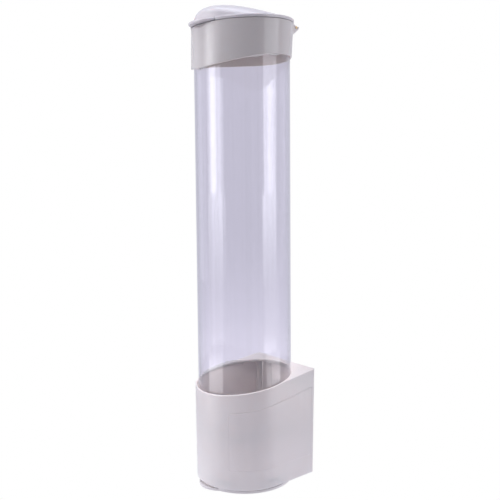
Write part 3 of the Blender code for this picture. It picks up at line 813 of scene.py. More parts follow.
@dataclass
class BaseHousing:
    """The D-shaped housing: thin wall, sloping top with the tube's mouth, and a plate on each side.

    Its shares of the height run from 0 at the foot to 1 at the sloping top.
    """

    foot: float = 0.0028
    foot_radius: float = 0.0412
    foot_half_width: float = 0.0372
    back: float = 0.0462
    middle_y: float = -0.0011
    corner: float = 0.00132
    round_draft: float = 0.017
    back_draft: float = 0.042
    rim: float = 0.0883
    slope: float = math.tan(math.radians(8.7))
    wall: float = 0.0011
    top_plate: float = 0.0018
    mouth: Pair = (0.0405, 0.04095)
    mouth_y: float = -0.00065
    ring: float = 0.0005
    edge: float = 0.00035
    levels: int = 6
    round_steps: int = 144
    straight_cuts: int = 20
    plate_angle: float = 35.7
    plate_drop: float = 0.0150
    plate_foot: float = 0.0195
    plate_back: float = 0.0428
    plate_steps: tuple[Pair, ...] = ((0.00034, -0.00024), (0.00018, 0.00038))
    rib_x: float = 0.02015
    rib_half: float = 0.0007
    rib_y: Pair = (0.0349, 0.0456)
    rib_foot: float = 0.0033
    boss_at: Pair = (0.030, 0.0395)
    boss_radius: float = 0.0032
    boss_foot: float = 0.0485
    ledge_radii: Pair = (0.0391, 0.0415)
    ledge_levels: Pair = (0.0442, 0.0459)
    lug_radii: Pair = (0.0390, 0.0414)
    lug_levels: Pair = (0.0080, 0.0096)
    inner_head: float = 0.06

    def top(self, y: float) -> float:
        """Return the height of the sloping top at a depth."""
        return self.rim + self.slope * y

    def ceiling(self, y: float) -> float:
        """Return the height of the top's underside at a depth."""
        return self.top(y) - self.top_plate

    def drafted(self, point: Vector, share: float, top_drop: float) -> Vector:
        """Move a point of the foot outline up the drafted wall.

        Args:
            point: The point of the outline.
            share: The share of the height.
            top_drop: How far the top stays below the sloping top.

        Returns:
            The point on the wall.
        """
        along = clamp((point.y - self.middle_y) / (self.back - self.middle_y))
        grown = 1 + share * self.round_draft
        x = point.x * (1 + share * (self.round_draft + self.back_draft * along))
        y = point.y if along else self.middle_y + (point.y - self.middle_y) * grown
        return Vector((x, y, self.foot + share * (self.top(y) - top_drop - self.foot)))

    def outline(self, shape: Shape, inset: float) -> list[Edge]:
        """Add the D outline as a loop of edges, at a distance inside the outer wall.

        Args:
            shape: The shape that gets it.
            inset: The distance.

        Returns:
            The loop's edges.
        """
        mesh = shape.mesh
        radius, half, back = (
            size - inset for size in (self.foot_radius, self.foot_half_width, self.back))
        centre = Vector((0.0, self.middle_y, 0.0))
        reach = Vector((half, back, 0.0)) - centre
        tangent = math.atan2(reach.y, reach.x) - math.acos(radius / reach.length)
        touch = Vector((radius * math.cos(tangent), radius * math.sin(tangent), 0))
        start = mesh.verts.new(centre + touch)
        spun = bmesh.ops.spin(mesh, geom=[start], cent=centre, axis=(0, 0, 1),
                              angle=-(math.pi + 2 * tangent), steps=self.round_steps)
        (end,) = only(Vert, spun["geom_last"])
        right, left = mesh.verts.new((half, back, 0)), mesh.verts.new((-half, back, 0))
        for pair in ((end, left), (left, right), (right, start)):
            mesh.edges.new(pair)
        bmesh.ops.contextual_create(mesh, geom=list(mesh.edges))
        shape.round_corners([left, right], self.corner, 5)
        bmesh.ops.delete(mesh, geom=list(mesh.faces), context="FACES_ONLY")
        straight = [edge for edge in mesh.edges if edge.calc_length() > self.foot_radius / 4]
        bmesh.ops.subdivide_edges(mesh, edges=straight, cuts=self.straight_cuts)
        return list(mesh.edges)

    def drafted_tube(self, inset: float, top_drop: float) -> Shape:
        """Build one open wall of the housing.

        Args:
            inset: How far it lies inside the outer wall.
            top_drop: How far its top lies below the sloping top.

        Returns:
            The wall, open at both ends.
        """
        shape = Shape()
        rim = self.outline(shape, inset)
        shares = {vert: 0.0 for vert in shape.mesh.verts}
        for level in range(1, self.levels + 1):
            grown = bmesh.ops.extrude_edge_only(shape.mesh, edges=rim)["geom"]
            rim = only(Edge, grown)
            shares |= {vert: level / self.levels for vert in only(Vert, grown)}
        for vert, share in shares.items():
            vert.co = self.drafted(vert.co, share, top_drop)
        return shape

    def cap_top(self, shape: Shape) -> None:
        """Close the top, with the mouth for the tube.

        Args:
            shape: The two open walls.
        """
        mesh = shape.mesh
        upper, ceiling = shape.open_edges(self.top), shape.open_edges(self.ceiling)
        lid = bmesh.ops.contextual_create(mesh, geom=upper)["faces"][0]
        shape.inset([lid], self.ring)
        inner_rim = list(lid.edges)
        bmesh.ops.delete(mesh, geom=[lid], context="FACES_ONLY")
        wide, deep = (half + self.ring for half in self.mouth)
        place = Matrix.Translation((0, self.mouth_y, 0)) @ Matrix.Diagonal((wide, deep, 1, 1))
        disc = shape.disc(ROUND_STEPS, place)
        for vert in disc.verts:
            vert.co.z = self.top(vert.co.y)
        shape.inset([disc], self.ring)
        outer_ring = [edge for edge in shape.open_edges(self.top) if edge not in inner_rim]
        shape.fill([*inner_rim, *outer_ring], (0, 0, 1))
        grown = bmesh.ops.extrude_face_region(mesh, geom=[disc])["geom"]
        (floor,) = only(Face, grown)
        for vert in floor.verts:
            vert.co.z -= self.top_plate
        rim = list(floor.edges)
        spare = [face for face in (floor, disc) if face.is_valid]
        bmesh.ops.delete(mesh, geom=spare, context="FACES_ONLY")
        shape.fill([*rim, *ceiling], (0, 0, -1))

    def build(self) -> None:
        """Build the housing: a closed shell, its plates and its inner mouldings."""
        shape = self.drafted_tube(0.0, 0.0).add(self.drafted_tube(self.wall, self.top_plate))
        self.cap_top(shape)
        shape.fill(shape.open_edges(lambda y: self.foot), (0, 0, -1))
        shape.face_out().soften(
            self.edge, lambda p: min(abs(p.z - self.top(p.y)), abs(p.z - self.foot)) < 1e-6)
        self.raise_plates(shape)
        shape.add(self.mouldings())
        make_piece(shape, "base_housing_shell", "base", HOUSING_PLASTIC, ["base_housing"])

    def raise_plates(self, shape: Shape) -> None:
        """Raise a shallow plate on each side, inside a fine groove.

        Args:
            shape: The housing.
        """
        cuts = [((0, 0, self.rim - self.plate_drop), (0, -self.slope, 1), 0),
                ((0, 0, self.plate_foot), (0, 0, 1), 0), ((0, self.plate_back, 0), (0, 1, 0), 0)]
        for side in Side:
            x, y = from_front(side.value * self.plate_angle)
            cuts.append(((0, self.middle_y, 0), (-y, x, 0), side.value))
        for point, across, sign in cuts:
            shape.split(point, Vector(across).normalized(), [
                face for face in shape.mesh.faces
                if self.is_outside(face) and face.calc_center_median().x * sign >= 0])
        for side in Side:
            plate = [face for face in shape.mesh.faces if self.is_outside(face)
                     and self.in_plate(face.calc_center_median(), side)]
            for width, depth in self.plate_steps:
                shape.inset(plate, width, depth)

    def is_outside(self, face: Face) -> bool:
        """Return whether a face is of the outer wall."""
        outward = face.calc_center_median() - Vector((0.0, self.middle_y, 0.0))
        return abs(face.normal.z) < 0.2 and face.normal.xy.dot(outward.xy) > 0

    def in_plate(self, point: Vector, side: Side) -> bool:
        """Tell whether a point of the outer wall lies in a side's plate.

        Args:
            point: The point.
            side: The side.

        Returns:
            Whether it does.
        """
        angle = math.degrees(math.atan2(side.value * point.x, self.middle_y - point.y))
        return (self.plate_angle < angle < 180 and point.y < self.plate_back
                and self.plate_foot < point.z < self.top(point.y) - self.plate_drop)

    def mouldings(self) -> Shape:
        """Build what is moulded inside the housing.

        Returns:
            The ribs, screw bosses, seat ledges and twist-lock lugs.
        """
        inside, head = Shape(), self.inner_head
        for side in Side:
            rib, boss = side.value * self.rib_x, (side.value * self.boss_at[0], self.boss_at[1])
            inside.block((rib - self.rib_half, self.rib_y[0], self.rib_foot),
                         (rib + self.rib_half, self.rib_y[1], head))
            inside.rod(self.boss_radius, (*boss, self.boss_foot), (*boss, head), 48)
            inside.sector(self.ledge_radii, self.ledge_levels, side.value * 45, 7)
        inside.fold(lambda p: Vector((p.x, p.y, self.top(p.y) - self.top_plate / 2)),
                    lambda p: p.z > head - SAME)
        inner, outer = self.lug_radii
        for angle in range(30, 360, 60):
            reach = outer if angle in (150, 210) else self.wall_distance(angle, self.lug_levels[1])
            inside.sector((inner, reach), self.lug_levels, angle, 8)
        return inside.face_out()

    def wall_distance(self, angle: float, level: float) -> float:
        """Work out how far the middle of the round wall lies from the tube's axis.

        Args:
            angle: The direction.
            level: The height.

        Returns:
            The distance.
        """
        share = (level - self.foot) / (self.rim - self.foot)
        radius = self.foot_radius * (1 + share * self.round_draft) - self.wall / 2
        along = -self.middle_y * math.cos(math.radians(angle))
        return along + math.sqrt(radius ** 2 - self.middle_y ** 2 + along ** 2)


# ---- tube and glue


@dataclass
class CupTube:
    """The clear tube that the cups stand in."""

    radius: float = 0.0400
    wall: float = 0.0010
    foot: float = 0.0485
    head: float = 0.3780
    edge: float = 0.0002

    def build(self) -> None:
        """Build the tube."""
        inner = self.radius - self.wall
        corners = ((inner, self.foot), (self.radius, self.foot), (self.radius, self.head),
                   (inner, self.head))
        shape = Shape().lathe([(*corner, self.edge) for corner in corners])
        make_piece(shape, "clear_tube", "base", TUBE_PLASTIC, ["cup_tube"])


def lumps(seed: int, period: float) -> Row:
    """Return an uneven row of scallops along an angle, from 0 to 1 high.

    Args:
        seed: The seed of the unevenness.
        period: The scallops' mean width, in degrees.

    Returns:
        The height of the row at an angle.
    """
    chance = random.Random(seed)
    waves = [(period * chance.uniform(0.7, 1.6), chance.uniform(0, math.tau)) for _ in range(3)]
    return lambda angle: sum(
        abs(math.sin(angle * math.pi / width + turn)) for width, turn in waves) / len(waves)


@dataclass
class GlueBead:
    """Glue squeezed out on the tube's outside, along the edge of a moulding.

    Its section is given in shares of how far it bulges and how high it is.
    """

    name: str
    edge: Row
    first: float
    last: float
    bulge: float = 0.00045
    inner: float = 0.04002
    step: float = 0.6
    least: float = 0.0002
    section: tuple[Pair, ...] = (
        (0.0, 0.0), (0.6, 0.03), (1.0, 0.35), (0.85, 0.75), (0.4, 0.97), (0.0, 1.0))

    def over(self, angle: float) -> float:
        """Return how far the bead reaches above the edge."""
        return self.least

    def under(self, angle: float) -> float:
        """Return how far the bead hangs below the edge."""
        raise NotImplementedError

    def build(self) -> None:
        """Build the bead."""
        steps = round((self.last - self.first) / self.step)
        section = [(self.inner + self.bulge * out, share) for out, share in self.section]
        shape = Shape().sweep(section, self.first, self.last, steps).face_out().fold(self.settle)
        make_piece(shape, self.name, "base", GLUE, smooth=60.0)

    def settle(self, point: Vector) -> Vector:
        """Move a point of the even band to its place on the uneven bead.

        Args:
            point: The point, with its share of the bead's height as its Z.

        Returns:
            Its place.
        """
        angle = math.degrees(math.atan2(point.x, -point.y)) % 360
        angle -= 360 if angle > self.last + 1 else 0
        low, high = -self.under(angle), self.over(angle)
        return Vector((point.x, point.y, self.edge(point.y) + low + (high - low) * point.z))


@dataclass
class MouthGlue(GlueBead):
    """The glue at the base's mouth: a thin line that swells towards both ends, with one run.

    A swelling is given by the angle where it starts, how far on it is full, and how high it is
    at least and through its lumps. The run is given by its angle, half its width and its length.
    """

    hang: float = 0.0018
    run: Triple = (236.5, 0.7, 0.0022)
    left: tuple[float, ...] = (236, 12, 0.0011, 0.0015)
    right: tuple[float, ...] = (204, -24, 0.0010, 0.0016)
    wave: Row = lumps(3, 6.5)
    fine: Row = lumps(5, 2.6)

    def swelling(self, angle: float, end: tuple[float, ...], row: Row) -> float:
        """Return how high a swelling is at an angle, with its row of lumps."""
        start, width, least, more = end
        return clamp((angle - start) / width) * (least + more * row(angle))

    def over(self, angle: float) -> float:
        """Return how far the bead reaches above the edge."""
        thin = self.least + self.least * self.fine(angle)
        return thin + self.swelling(angle, self.left, self.wave)

    def under(self, angle: float) -> float:
        """Return how far the bead hangs below the edge."""
        run = self.run[2] if abs(angle - self.run[0]) < self.run[1] else 0.0
        return self.hang + run + self.swelling(angle, self.right, self.fine)


@dataclass
class CollarGlue(GlueBead):
    """A row of drops under the collar, deepest at its middle."""

    depth: float = 0.002
    drops: Row = lumps(11, 3.2)

    def under(self, angle: float) -> float:
        """Return how far the bead hangs below the edge."""
        aside = (2 * angle - self.first - self.last) / (self.last - self.first)
        return self.least / 2 + self.depth * self.drops(angle) * (1 - aside ** 2)


# ---- collar and lid


@dataclass
class HeadPlanes:
    """The sloping planes that the collar and the lid share."""

    level: float = 0.3841
    tilt: float = math.tan(math.radians(3.6))
    lean: float = 0.0006

    def collar_top(self, y: float) -> float:
        """Return the height of the collar's top at a depth."""
        return self.level + self.tilt * y

    def lid_plane(self, y: float) -> float:
        """Return the height of the lid's underside at a depth."""
        return self.collar_top(y) + GAP


@dataclass
class Hinge:
    """Where the lid turns, and the sizes of its knuckles."""

    y: float = 0.0433
    z: float = 0.38592
    hole: float = 0.0013
    ear: float = 0.0027
    barrel: float = 0.0023
    arm_x: Pair = (0.0145, 0.0172)
    ear_x: Pair = (0.0175, 0.0194)
    gusset: float = 0.0090
    throat: float = 0.005

    def knuckle(self, corners: Sequence[Pair], radius: float, sweep: Pair, span: Pair) -> Shape:
        """Build a knuckle: an arc about the hinge line, closed through corners and given a width.

        Args:
            corners: The corners that follow the arc, as Y and Z.
            radius: The arc's radius.
            sweep: The arc's first and last angle from +Y, in degrees.
            span: The lower and upper X.

        Returns:
            The knuckle.
        """
        shape, (low, high) = Shape(), span
        first, last = (math.radians(angle) for angle in sweep)
        start = shape.mesh.verts.new(
            (low, self.y + radius * math.cos(first), self.z + radius * math.sin(first)))
        spun = bmesh.ops.spin(shape.mesh, geom=[start], cent=(low, self.y, self.z), axis=(1, 0, 0),
                              angle=last - first, steps=20)
        (end,) = only(Vert, spun["geom_last"])
        chain = [end, *(shape.mesh.verts.new((low, y, z)) for y, z in corners), start]
        for pair in zip(chain, chain[1:]):
            shape.mesh.edges.new(pair)
        face = bmesh.ops.contextual_create(shape.mesh, geom=list(shape.mesh.edges))["faces"][0]
        return shape.thicken(face, (high - low, 0, 0))

    def bore(self, span: Pair) -> Shape:
        """Return the hole for the pin, through a knuckle's lower and upper X."""
        start, end = ((x, self.y, self.z) for x in (span[0] - CUT_PAST, span[1] + CUT_PAST))
        return Shape().rod(self.hole, start, end, 40)

    def mouth(self, span: Pair) -> Shape:
        """Return the open throat above the pin, through a knuckle's lower and upper X."""
        return Shape().block((span[0] - CUT_PAST, self.y - self.hole, self.z),
                             (span[1] + CUT_PAST, self.y + self.hole, self.z + self.throat))


def span_on(side: Side, xs: Pair) -> Pair:
    """Return the lower and upper X of a knuckle on a side."""
    low, high = sorted(side.value * x for x in xs)
    return low, high


@dataclass
class Collar:
    """The collar over the tube's head: swept lower edge, thumb scallop and two hinge ears."""

    planes: HeadPlanes
    hinge: Hinge
    bore: float = 0.0403
    foot_radius: float = 0.0419
    top_radius: float = 0.0425
    shoulder: float = 0.3783
    mouth: float = 0.0390
    skirt: float = 0.0276
    slant: float = 0.00295
    bow: float = 0.00385
    scoop: Triple = (0.019, 0.0052, 0.0052)
    scoop_bite: float = 0.0011
    ear_root: float = 0.0016
    ear_edge: float = 0.00012

    def foot(self, y: float) -> float:
        """Return the height of the swept lower edge at a depth."""
        share = y / self.foot_radius
        return self.planes.collar_top(y) - self.skirt + self.slant * share - self.bow * share ** 2

    def leaned(self, point: Vector, old: float, plane: Row, lean: float) -> Vector:
        """Move a point from a level to a sloping plane.

        Args:
            point: The point.
            old: The level.
            plane: The height of the plane at a depth.
            lean: How far the outer wall also moves back.

        Returns:
            The moved point.
        """
        outside = math.hypot(point.x, point.y) > (self.bore + self.foot_radius) / 2
        y = point.y + (lean if outside else 0.0)
        return Vector((point.x, y, point.z - old + plane(y)))

    def build(self) -> None:
        """Build the collar."""
        planes, foot = self.planes, self.shoulder - self.skirt
        shape = Shape().lathe([
            (self.bore, foot, 0.0002), (self.foot_radius, foot, 0.0008),
            (self.top_radius, planes.level, 0.0004), (self.mouth, planes.level, 0.0003),
            (self.mouth, self.shoulder, 0.0002), (self.bore, self.shoulder, 0.0)])
        shape.fold(lambda p: self.leaned(p, foot, self.foot, -planes.lean),
                   lambda p: p.z < (foot + self.shoulder) / 2)
        shape.fold(lambda p: self.leaned(p, planes.level, planes.collar_top, planes.lean),
                   lambda p: p.z > self.shoulder + 0.0004)
        shape.cut(self.thumb_scoop())
        for side in Side:
            shape.add(self.ear(side))
        make_piece(shape, "collar_shell", "base", COLLAR_PLASTIC, ["collar"])

    def thumb_scoop(self) -> Shape:
        """Build what cuts the thumb scallop.

        Returns:
            A flat ball.
        """
        scoop, front = Shape(), self.planes.lean - self.top_radius
        place = Matrix.Translation(
            (0, front + self.scoop_bite - self.scoop[1], self.planes.collar_top(front)))
        bmesh.ops.create_uvsphere(scoop.mesh, u_segments=96, v_segments=64, radius=1.0,
                                  matrix=place @ Matrix.Diagonal((*self.scoop, 1.0)))
        return scoop

    def ear(self, side: Side) -> Shape:
        """Build one open hook that holds a hinge pin.

        Args:
            side: The side that it stands on.

        Returns:
            The hook.
        """
        hinge, span = self.hinge, span_on(side, self.hinge.ear_x)
        root = self.mouth * math.cos(math.asin(hinge.ear_x[0] / self.mouth)) + self.ear_root
        corners = [(root, self.planes.collar_top(root) - GAP), (root, hinge.z - hinge.gusset)]
        ear = hinge.knuckle(corners, hinge.ear, (-50, 15), span)
        return ear.cut(hinge.bore(span), hinge.mouth(span)).soften(self.ear_edge, segments=2)


@dataclass
class Lid:
    """The hinged lid: flange, leaning dome, locating lip, thumb tab and two hinge arms."""

    planes: HeadPlanes
    hinge: Hinge
    flange_radius: float = 0.0429
    flange: float = 0.0026
    dome_radius: float = 0.0400
    dome_height: float = 0.0120
    dome_lean: float = 0.0240
    dome_steps: int = 40
    wall: float = 0.0014
    lip_radius: float = 0.0384
    lip_wall: float = 0.0014
    lip_depth: float = 0.0015
    rounding: float = 0.0007
    tab_radius: float = 0.0200
    tab_centre: float = 0.0285
    tab_root: float = 0.0375
    tab: float = 0.0019
    tab_edge: float = 0.0005
    arm_root: float = 0.0371
    arm_edge: float = 0.00015

    @property
    def inner_radius(self) -> float:
        """The radius of the dome's hollow."""
        return self.lip_radius - self.lip_wall

    def outer_dome(self, share: float) -> float:
        """Return the dome's height at a share of its radius."""
        return self.flange + self.dome_height * (1 - share * share)

    def inner_dome(self, share: float) -> float:
        """Return the hollow's height at a share of its radius."""
        return self.flange - self.wall + (self.dome_height - GAP) * (1 - share * share)

    def build(self) -> None:
        """Build the lid."""
        inner, lip = self.inner_radius, -self.lip_depth
        shares = [step / self.dome_steps for step in range(self.dome_steps + 1)]
        rim = [(self.flange_radius, self.flange, self.rounding), (self.flange_radius, 0.0, 0.0005),
               (self.lip_radius, 0.0, 0.0), (self.lip_radius, lip, 0.0003), (inner, lip, 0.0003)]
        shape = Shape().lathe([
            *((self.dome_radius * share, self.outer_dome(share), 0.0) for share in shares), *rim,
            *((inner * share, self.inner_dome(share), 0.0) for share in reversed(shares))],
            closed=False)
        shape.fold(self.leaned)
        shape.add(self.thumb_tab())
        for side in Side:
            shape.add(self.arm(side))
        make_piece(shape, "lid_shell", "lid", LID_PLASTIC_PAINTED_TOP_LIGHT, ["lid"])

    def leaned(self, point: Vector) -> Vector:
        """Move a point of the upright lid to its place on the sloping plane, and lean the dome.

        Args:
            point: The point.

        Returns:
            Its place.
        """
        radius, foot = math.hypot(point.x, point.y), self.flange - self.wall
        inner_share, outer_share = radius / self.inner_radius, radius / self.dome_radius
        is_inner = (abs(point.z - self.inner_dome(inner_share))
                    < abs(point.z - self.outer_dome(outer_share)))
        y = point.y
        if radius > (self.flange_radius + self.dome_radius) / 2 - self.rounding:
            y += self.planes.lean
        elif point.z > foot:
            y -= self.dome_lean * (1 - (inner_share if is_inner else outer_share) ** 2)
        return Vector((point.x, y, point.z + self.planes.lid_plane(y)))

    def thumb_tab(self) -> Shape:
        """Build the thumb tab.

        Returns:
            The round tab that grows from the flange's front.
        """
        shape = Shape()
        face = shape.disc(144, Matrix.Translation((0, -self.tab_centre, 0)), self.tab_radius)
        shape.thicken(face, (0, 0, self.tab))
        mesh = shape.mesh
        bmesh.ops.bisect_plane(
            mesh, geom=[*mesh.verts, *mesh.edges, *mesh.faces], dist=SAME,
            plane_co=(0, -self.tab_root, 0), plane_no=(0, 1, 0), clear_outer=True)
        bmesh.ops.holes_fill(mesh, edges=[edge for edge in mesh.edges if edge.is_boundary])
        shape.face_out().soften(self.tab_edge, lambda p: p.y < -self.tab_root - 0.0001)
        return shape.fold(lambda p: Vector((p.x, p.y, p.z + self.planes.lid_plane(p.y))))

    def arm(self, side: Side) -> Shape:
        """Build one hinge arm with its barrel.

        Args:
            side: The side that it stands on.

        Returns:
            The arm.
        """
        hinge, plane, span = self.hinge, self.planes.lid_plane, span_on(side, self.hinge.arm_x)
        root, inner = self.arm_root, hinge.y - hinge.barrel
        corners = [(inner + GAP, plane(inner) + self.flange - GAP),
                   (root, plane(root) + self.flange - GAP),
                   (root, plane(root) + GAP), (inner, plane(inner) + GAP)]
        arm = hinge.knuckle(corners, hinge.barrel, (180, 420), span)
        return arm.cut(hinge.bore(span)).soften(self.arm_edge, segments=2)


# ---- studio


@dataclass(frozen=True)
class Softbox:
    """A soft area light that aims at the dispenser; its radiance is how bright its face is."""

    name: str
    azimuth: float
    distance: float
    height: float
    size: Pair
    radiance: float
    tone: Triple
    lights: bool = True
    mirrored: bool = True
    aim: Triple = (0.0, 0.0, 0.20)

    def build(self) -> None:
        """Build the light."""
        data = bpy.data.lights.new(self.name, "AREA")
        data.shape, data.size, data.size_y = "RECTANGLE", *self.size
        data.energy = self.radiance * math.pi * self.size[0] * self.size[1]
        data.color = self.tone
        x, y = from_front(self.azimuth)
        light = into_scene(self.name, data)
        light.location = (x * self.distance, y * self.distance, self.height)
        away = Vector(self.aim) - light.location
        light.rotation_euler = away.to_track_quat("-Z", "Y").to_euler()
        light.visible_camera = False
        light.visible_diffuse, light.visible_glossy = self.lights, self.mirrored


@dataclass(frozen=True)
class InnerLight:
    """A small soft light inside the tube, for what the thin white walls let through."""

    name: str
    height: float
    radiance: float
    upwards: bool
    size: float = 0.056
    tone: Triple = (1.0, 0.90, 0.78)

    def build(self) -> None:
        """Build the light."""
        data = bpy.data.lights.new(self.name, "AREA")
        data.shape, data.size, data.color = "DISK", self.size, self.tone
        data.energy = self.radiance * math.pi * math.pi * self.size ** 2 / 4
        light = into_scene(self.name, data)
        light.location = (0.0, 0.0, self.height)
        light.rotation_euler = (math.pi if self.upwards else 0.0, 0.0, 0.0)
        light.visible_camera = light.visible_glossy = light.visible_transmission = False


@dataclass(frozen=True)
class MirrorCard:
    """A card that stands on the floor, brighter towards its top, and shows in reflections alone."""

    name: str
    azimuth: float
    distance: float
    size: Pair
    low: float
    high: float
    tone: Triple = (0.95, 0.96, 1.0)
    fade: float = 0.06

    def shade(self, bench: Bench) -> Signal:
        """Build the card's nodes.

        Args:
            bench: The material's bench.

        Returns:
            Its shader.
        """
        rise = bench.height().step_between(-self.fade, self.size[1] + self.fade)
        low, high = (tuple(part * level for part in self.tone) for level in (self.low, self.high))
        return bench.glow(bench.blend(rise, low, high))

    def build(self) -> None:
        """Build the card."""
        shape = Shape()
        place = (Matrix.Rotation(math.radians(self.azimuth), 4, "Z")
                 @ Matrix.Translation((0, -self.distance, self.size[1] / 2))
                 @ Matrix.Rotation(math.radians(90), 4, "X") @ Matrix.Diagonal((*self.size, 1, 1)))
        bmesh.ops.create_grid(shape.mesh, x_segments=1, y_segments=1, size=0.5, matrix=place)
        card = shape.as_object(self.name)
        card.data.materials.append(new_material(self.name, self.shade))
        card.visible_camera = card.visible_diffuse = False
        card.visible_transmission = card.visible_shadow = False


@dataclass
class Studio:
    """The pale floor, the soft lights and the camera."""

    camera_at: Triple = (0.4897095, -0.3611195, 0.2531428)
    camera_turn: Triple = (84.82714, 0.46075, 53.04144)
    lens: float = 51.4394
    front: float = 53.6
    white: Triple = EVEN
    backdrop: Triple = (0.66, 0.643, 0.77)
    # The brighter backdrop of a painted pool of light near the dispenser.
    backdrop_near: Triple = (1.12, 1.09, 1.31)
    mirrored: Triple = (0.60, 0.60, 0.66)
    pooled: Triple = (3.3, 3.25, 3.25)
    floor_radius: float = 6.0
    floor_drop: float = 0.0004
    lights: tuple[Softbox | MirrorCard | InnerLight, ...] = (
        Softbox("left_softbox", -20, 1.20, 0.65, (0.90, 0.9), 1.5, (0.96, 0.95, 1.0)),
        Softbox("left_core", -22, 1.19, 0.65, (0.42, 0.9), 2.75, (0.97, 0.98, 1.0)),
        Softbox("left_card", -17, 1.21, 0.65, (0.98, 0.9), 0.5, (0.95, 0.96, 1.0), lights=False),
        MirrorCard("left_low_card", -18, 1.20, (0.94, 0.232), 0.95, 3.0),
        Softbox("left_low", -24, 1.20, 0.10, (0.9, 0.2), 1.2, (0.96, 0.95, 1.0), mirrored=False),
        Softbox("left_wing", -62, 1.20, 0.50, (0.80, 1.2), 0.42, (0.93, 0.94, 1.0)),
        Softbox("right_softbox", 123, 1.20, 0.65, (0.86, 0.9), 2.0, (0.95, 0.96, 1.0)),
        MirrorCard("right_low_card", 121, 1.20, (0.88, 0.232), 0.95, 2.7),
        Softbox("right_wing", 172, 1.20, 0.50, (0.80, 1.2), 1.8, (0.93, 0.94, 1.0), mirrored=False),
        Softbox("back_panel", 236, 1.30, 0.50, (1.4, 1.2), 1.9, (0.92, 0.94, 1.0), mirrored=False),
        Softbox("front_fill", front, 1.15, 0.85, (0.8, 0.5), 0.25, (0.98, 0.96, 1.0),
                mirrored=False),
        Softbox("top_softbox", 53, 0.05, 1.40, (0.8, 0.8), 4.1, (0.87, 0.89, 1.0)),
        InnerLight("base_glow", 0.13, 3.1, upwards=False),
        InnerLight("collar_glow", 0.325, 2.0, upwards=True),
        Softbox("top_left_softbox", -36, 0.70, 1.25, (0.7, 0.5), 2.6, (0.85, 0.95, 1.0)))

    def build(self) -> None:
        """Build the whole studio."""
        self.camera()
        self.floor()
        self.sky()
        for light in self.lights:
            light.build()
            LOG.info("%s: in the studio", light.name)

    def camera(self) -> None:
        """Build the camera at the photograph's place."""
        data = bpy.data.cameras.new("camera")
        data.lens, data.sensor_width, data.clip_start = self.lens, 36.0, 0.01
        camera = into_scene("camera", data)
        camera.location = self.camera_at
        camera.rotation_euler = [math.radians(angle) for angle in self.camera_turn]
        bpy.context.scene.camera = camera
        bpy.context.scene.view_settings.view_transform = "Standard"

    def floor(self) -> None:
        """Build the floor, which only shows from above."""
        shape = Shape()
        shape.disc(96, Matrix.Translation((0, 0, -self.floor_drop)), self.floor_radius)
        floor = shape.face_out().as_object("floor")
        floor.data.materials.append(new_material("pale_floor", self.floor_cloth))

    def floor_cloth(self, bench: Bench) -> Signal:
        """Return the floor's shader: bright enough to meet the backdrop without a line.

        Args:
            bench: The floor's bench.

        Returns:
            The shader.
        """
        own = bench.own()
        reach = bench.add("ShaderNodeVectorMath", {0: own}, "Value", operation="LENGTH")
        # Painted light: the backdrop seen through the tube brightens towards the dispenser's foot.
        backdrop_light_pool = bench.blend(0.2 ** reach, self.backdrop, self.backdrop_near)
        seen = bench.glow(bench.blend(self.behind_tube(bench), self.white, backdrop_light_pool))
        mirrored = bench.glow(
            bench.blend(self.pools(bench, own, reach), self.mirrored, self.pooled))
        near = 1.0 - reach.step_between(0.12, 0.32)
        glow = bench.glow(bench.blend(near, (0.05, 0.05, 0.06), (0.86, 0.89, 1.0)), 0.62)
        cloth = bench.add("ShaderNodeBsdfDiffuse", {"Color": (0.35, 0.35, 0.36)})
        lit = bench.add("ShaderNodeAddShader", {0: glow, 1: cloth})
        below = bench.add("ShaderNodeNewGeometry", output="Backfacing")
        return bench.mix(below, self.by_ray(bench, lit, mirrored, seen), bench.see_through())

    def pools(self, bench: Bench, own: Signal, reach: Signal) -> Signal:
        """Return 1 in the pools of light that the softboxes throw on the floor at either side.

        Args:
            bench: The floor's bench.
            own: The floor's coordinates.
            reach: The distance from the dispenser.

        Returns:
            The pools.
        """
        aside = bench.add("ShaderNodeVectorMath", {0: own}, operation="NORMALIZE")
        front = bench.add("ShaderNodeVectorMath", {0: aside, 1: (*from_front(self.front), 0.0)},
                          "Value", operation="DOT_PRODUCT")
        sides = front.step_between(-0.10, -0.05) * (1.0 - front.step_between(0.58, 0.63))
        near = reach.step_between(0.20, 0.32) * (1.0 - reach.step_between(0.40, 0.55))
        return sides * ((1.0 - reach.step_between(0.8, 2.4)) * 0.15 + near * 0.85)

    def sky(self) -> None:
        """Light the room: white to the camera, dim to everything else."""
        world = bpy.data.worlds.new("room")
        bpy.context.scene.world = world
        world.use_nodes = True
        bench = Bench(world.node_tree)
        behind = bench.blend(self.behind_tube(bench), self.white, self.backdrop)
        seen, mirrored, dim = (
            bench.add("ShaderNodeBackground", {"Color": tone, "Strength": strength})
            for tone, strength in ((behind, 1.0), (self.mirrored, 1.0), ((0.93, 0.92, 1.0), 0.05)))
        bench.add("ShaderNodeOutputWorld", {"Surface": self.by_ray(bench, dim, mirrored, seen)})

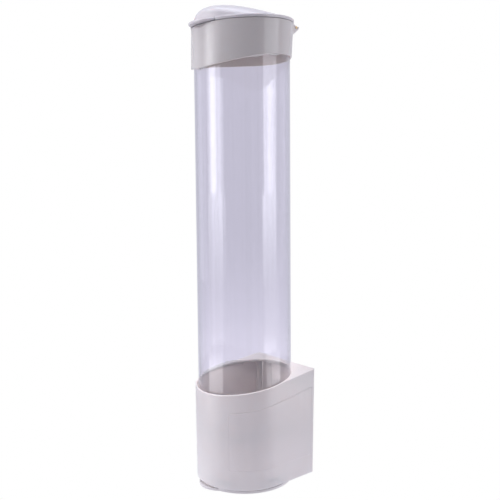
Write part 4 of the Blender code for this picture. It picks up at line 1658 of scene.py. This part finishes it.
    def by_ray(self, bench: Bench, lit: Signal, mirrored: Signal, seen: Signal) -> Signal:
        """Show one shader to the camera, one to mirrorings and one to all other light.

        Args:
            bench: The bench.
            lit: What lights the dispenser.
            mirrored: What it mirrors.
            seen: What the camera sees.

        Returns:
            The joined shader.
        """
        gloss = bench.add("ShaderNodeLightPath", output="Is Glossy Ray")
        camera = bench.add("ShaderNodeLightPath", output="Is Camera Ray")
        return bench.mix(camera, bench.mix(gloss, lit, mirrored), seen)

    def behind_tube(self, bench: Bench) -> Signal:
        """Return 1 where the backdrop shows through clear plastic, and 0 elsewhere."""
        walls = bench.add("ShaderNodeLightPath", output="Transparent Depth")
        return walls.maths("MINIMUM", walls, 1.0)


# ---- the whole dispenser


def lay_glue(housing: BaseHousing, collar: Collar) -> None:
    """Lay the glue at the base's mouth and under the collar.

    Args:
        housing: The base housing.
        collar: The collar.
    """
    MouthGlue("mouth_glue", housing.top, 150, 302).build()
    for name, first, last, depth, seed in (
            ("front", -14, 10, 0.0022, 11), ("side", 64, 79, 0.0013, 12),
            ("back", 86, 102, 0.0018, 13)):
        CollarGlue(f"collar_glue_{name}", collar.foot, first, last, depth=depth,
                   drops=lumps(seed, 3.2)).build()


def dress_carried_over() -> None:
    """Give the carried-over CAD nodes their finishes."""
    dress_node("claw_ring", RING_PLASTIC, 0.0003)
    dress_node("tube_seat", SEAT_PLASTIC, 0.0002)
    dress_node("mounting_pad", FOAM, 0.0004)
    for side in ("left", "right"):
        dress_node(f"hinge_pin_{side}", BRASS, 0.0002)
        dress_node(f"seat_screw_{side}", STEEL, 0.0001)
    for number in range(1, 7):
        dress_node(f"cup_claw_{number}", NYLON, 0.0002)
        dress_node(f"claw_pin_{number}", STEEL, 0.00008)
        dress_node(f"claw_spring_{number}", SPRING_STEEL)


def main() -> None:
    """Build the dispenser and its studio."""
    logging.basicConfig(level=logging.INFO, format="%(name)s: %(message)s")
    planes, hinge = HeadPlanes(), Hinge()
    housing, collar = BaseHousing(), Collar(planes, hinge)
    housing.build()
    CupTube().build()
    collar.build()
    Lid(planes, hinge).build()
    lay_glue(housing, collar)
    dress_carried_over()
    Studio().build()


if __name__ == "__main__":
    main()
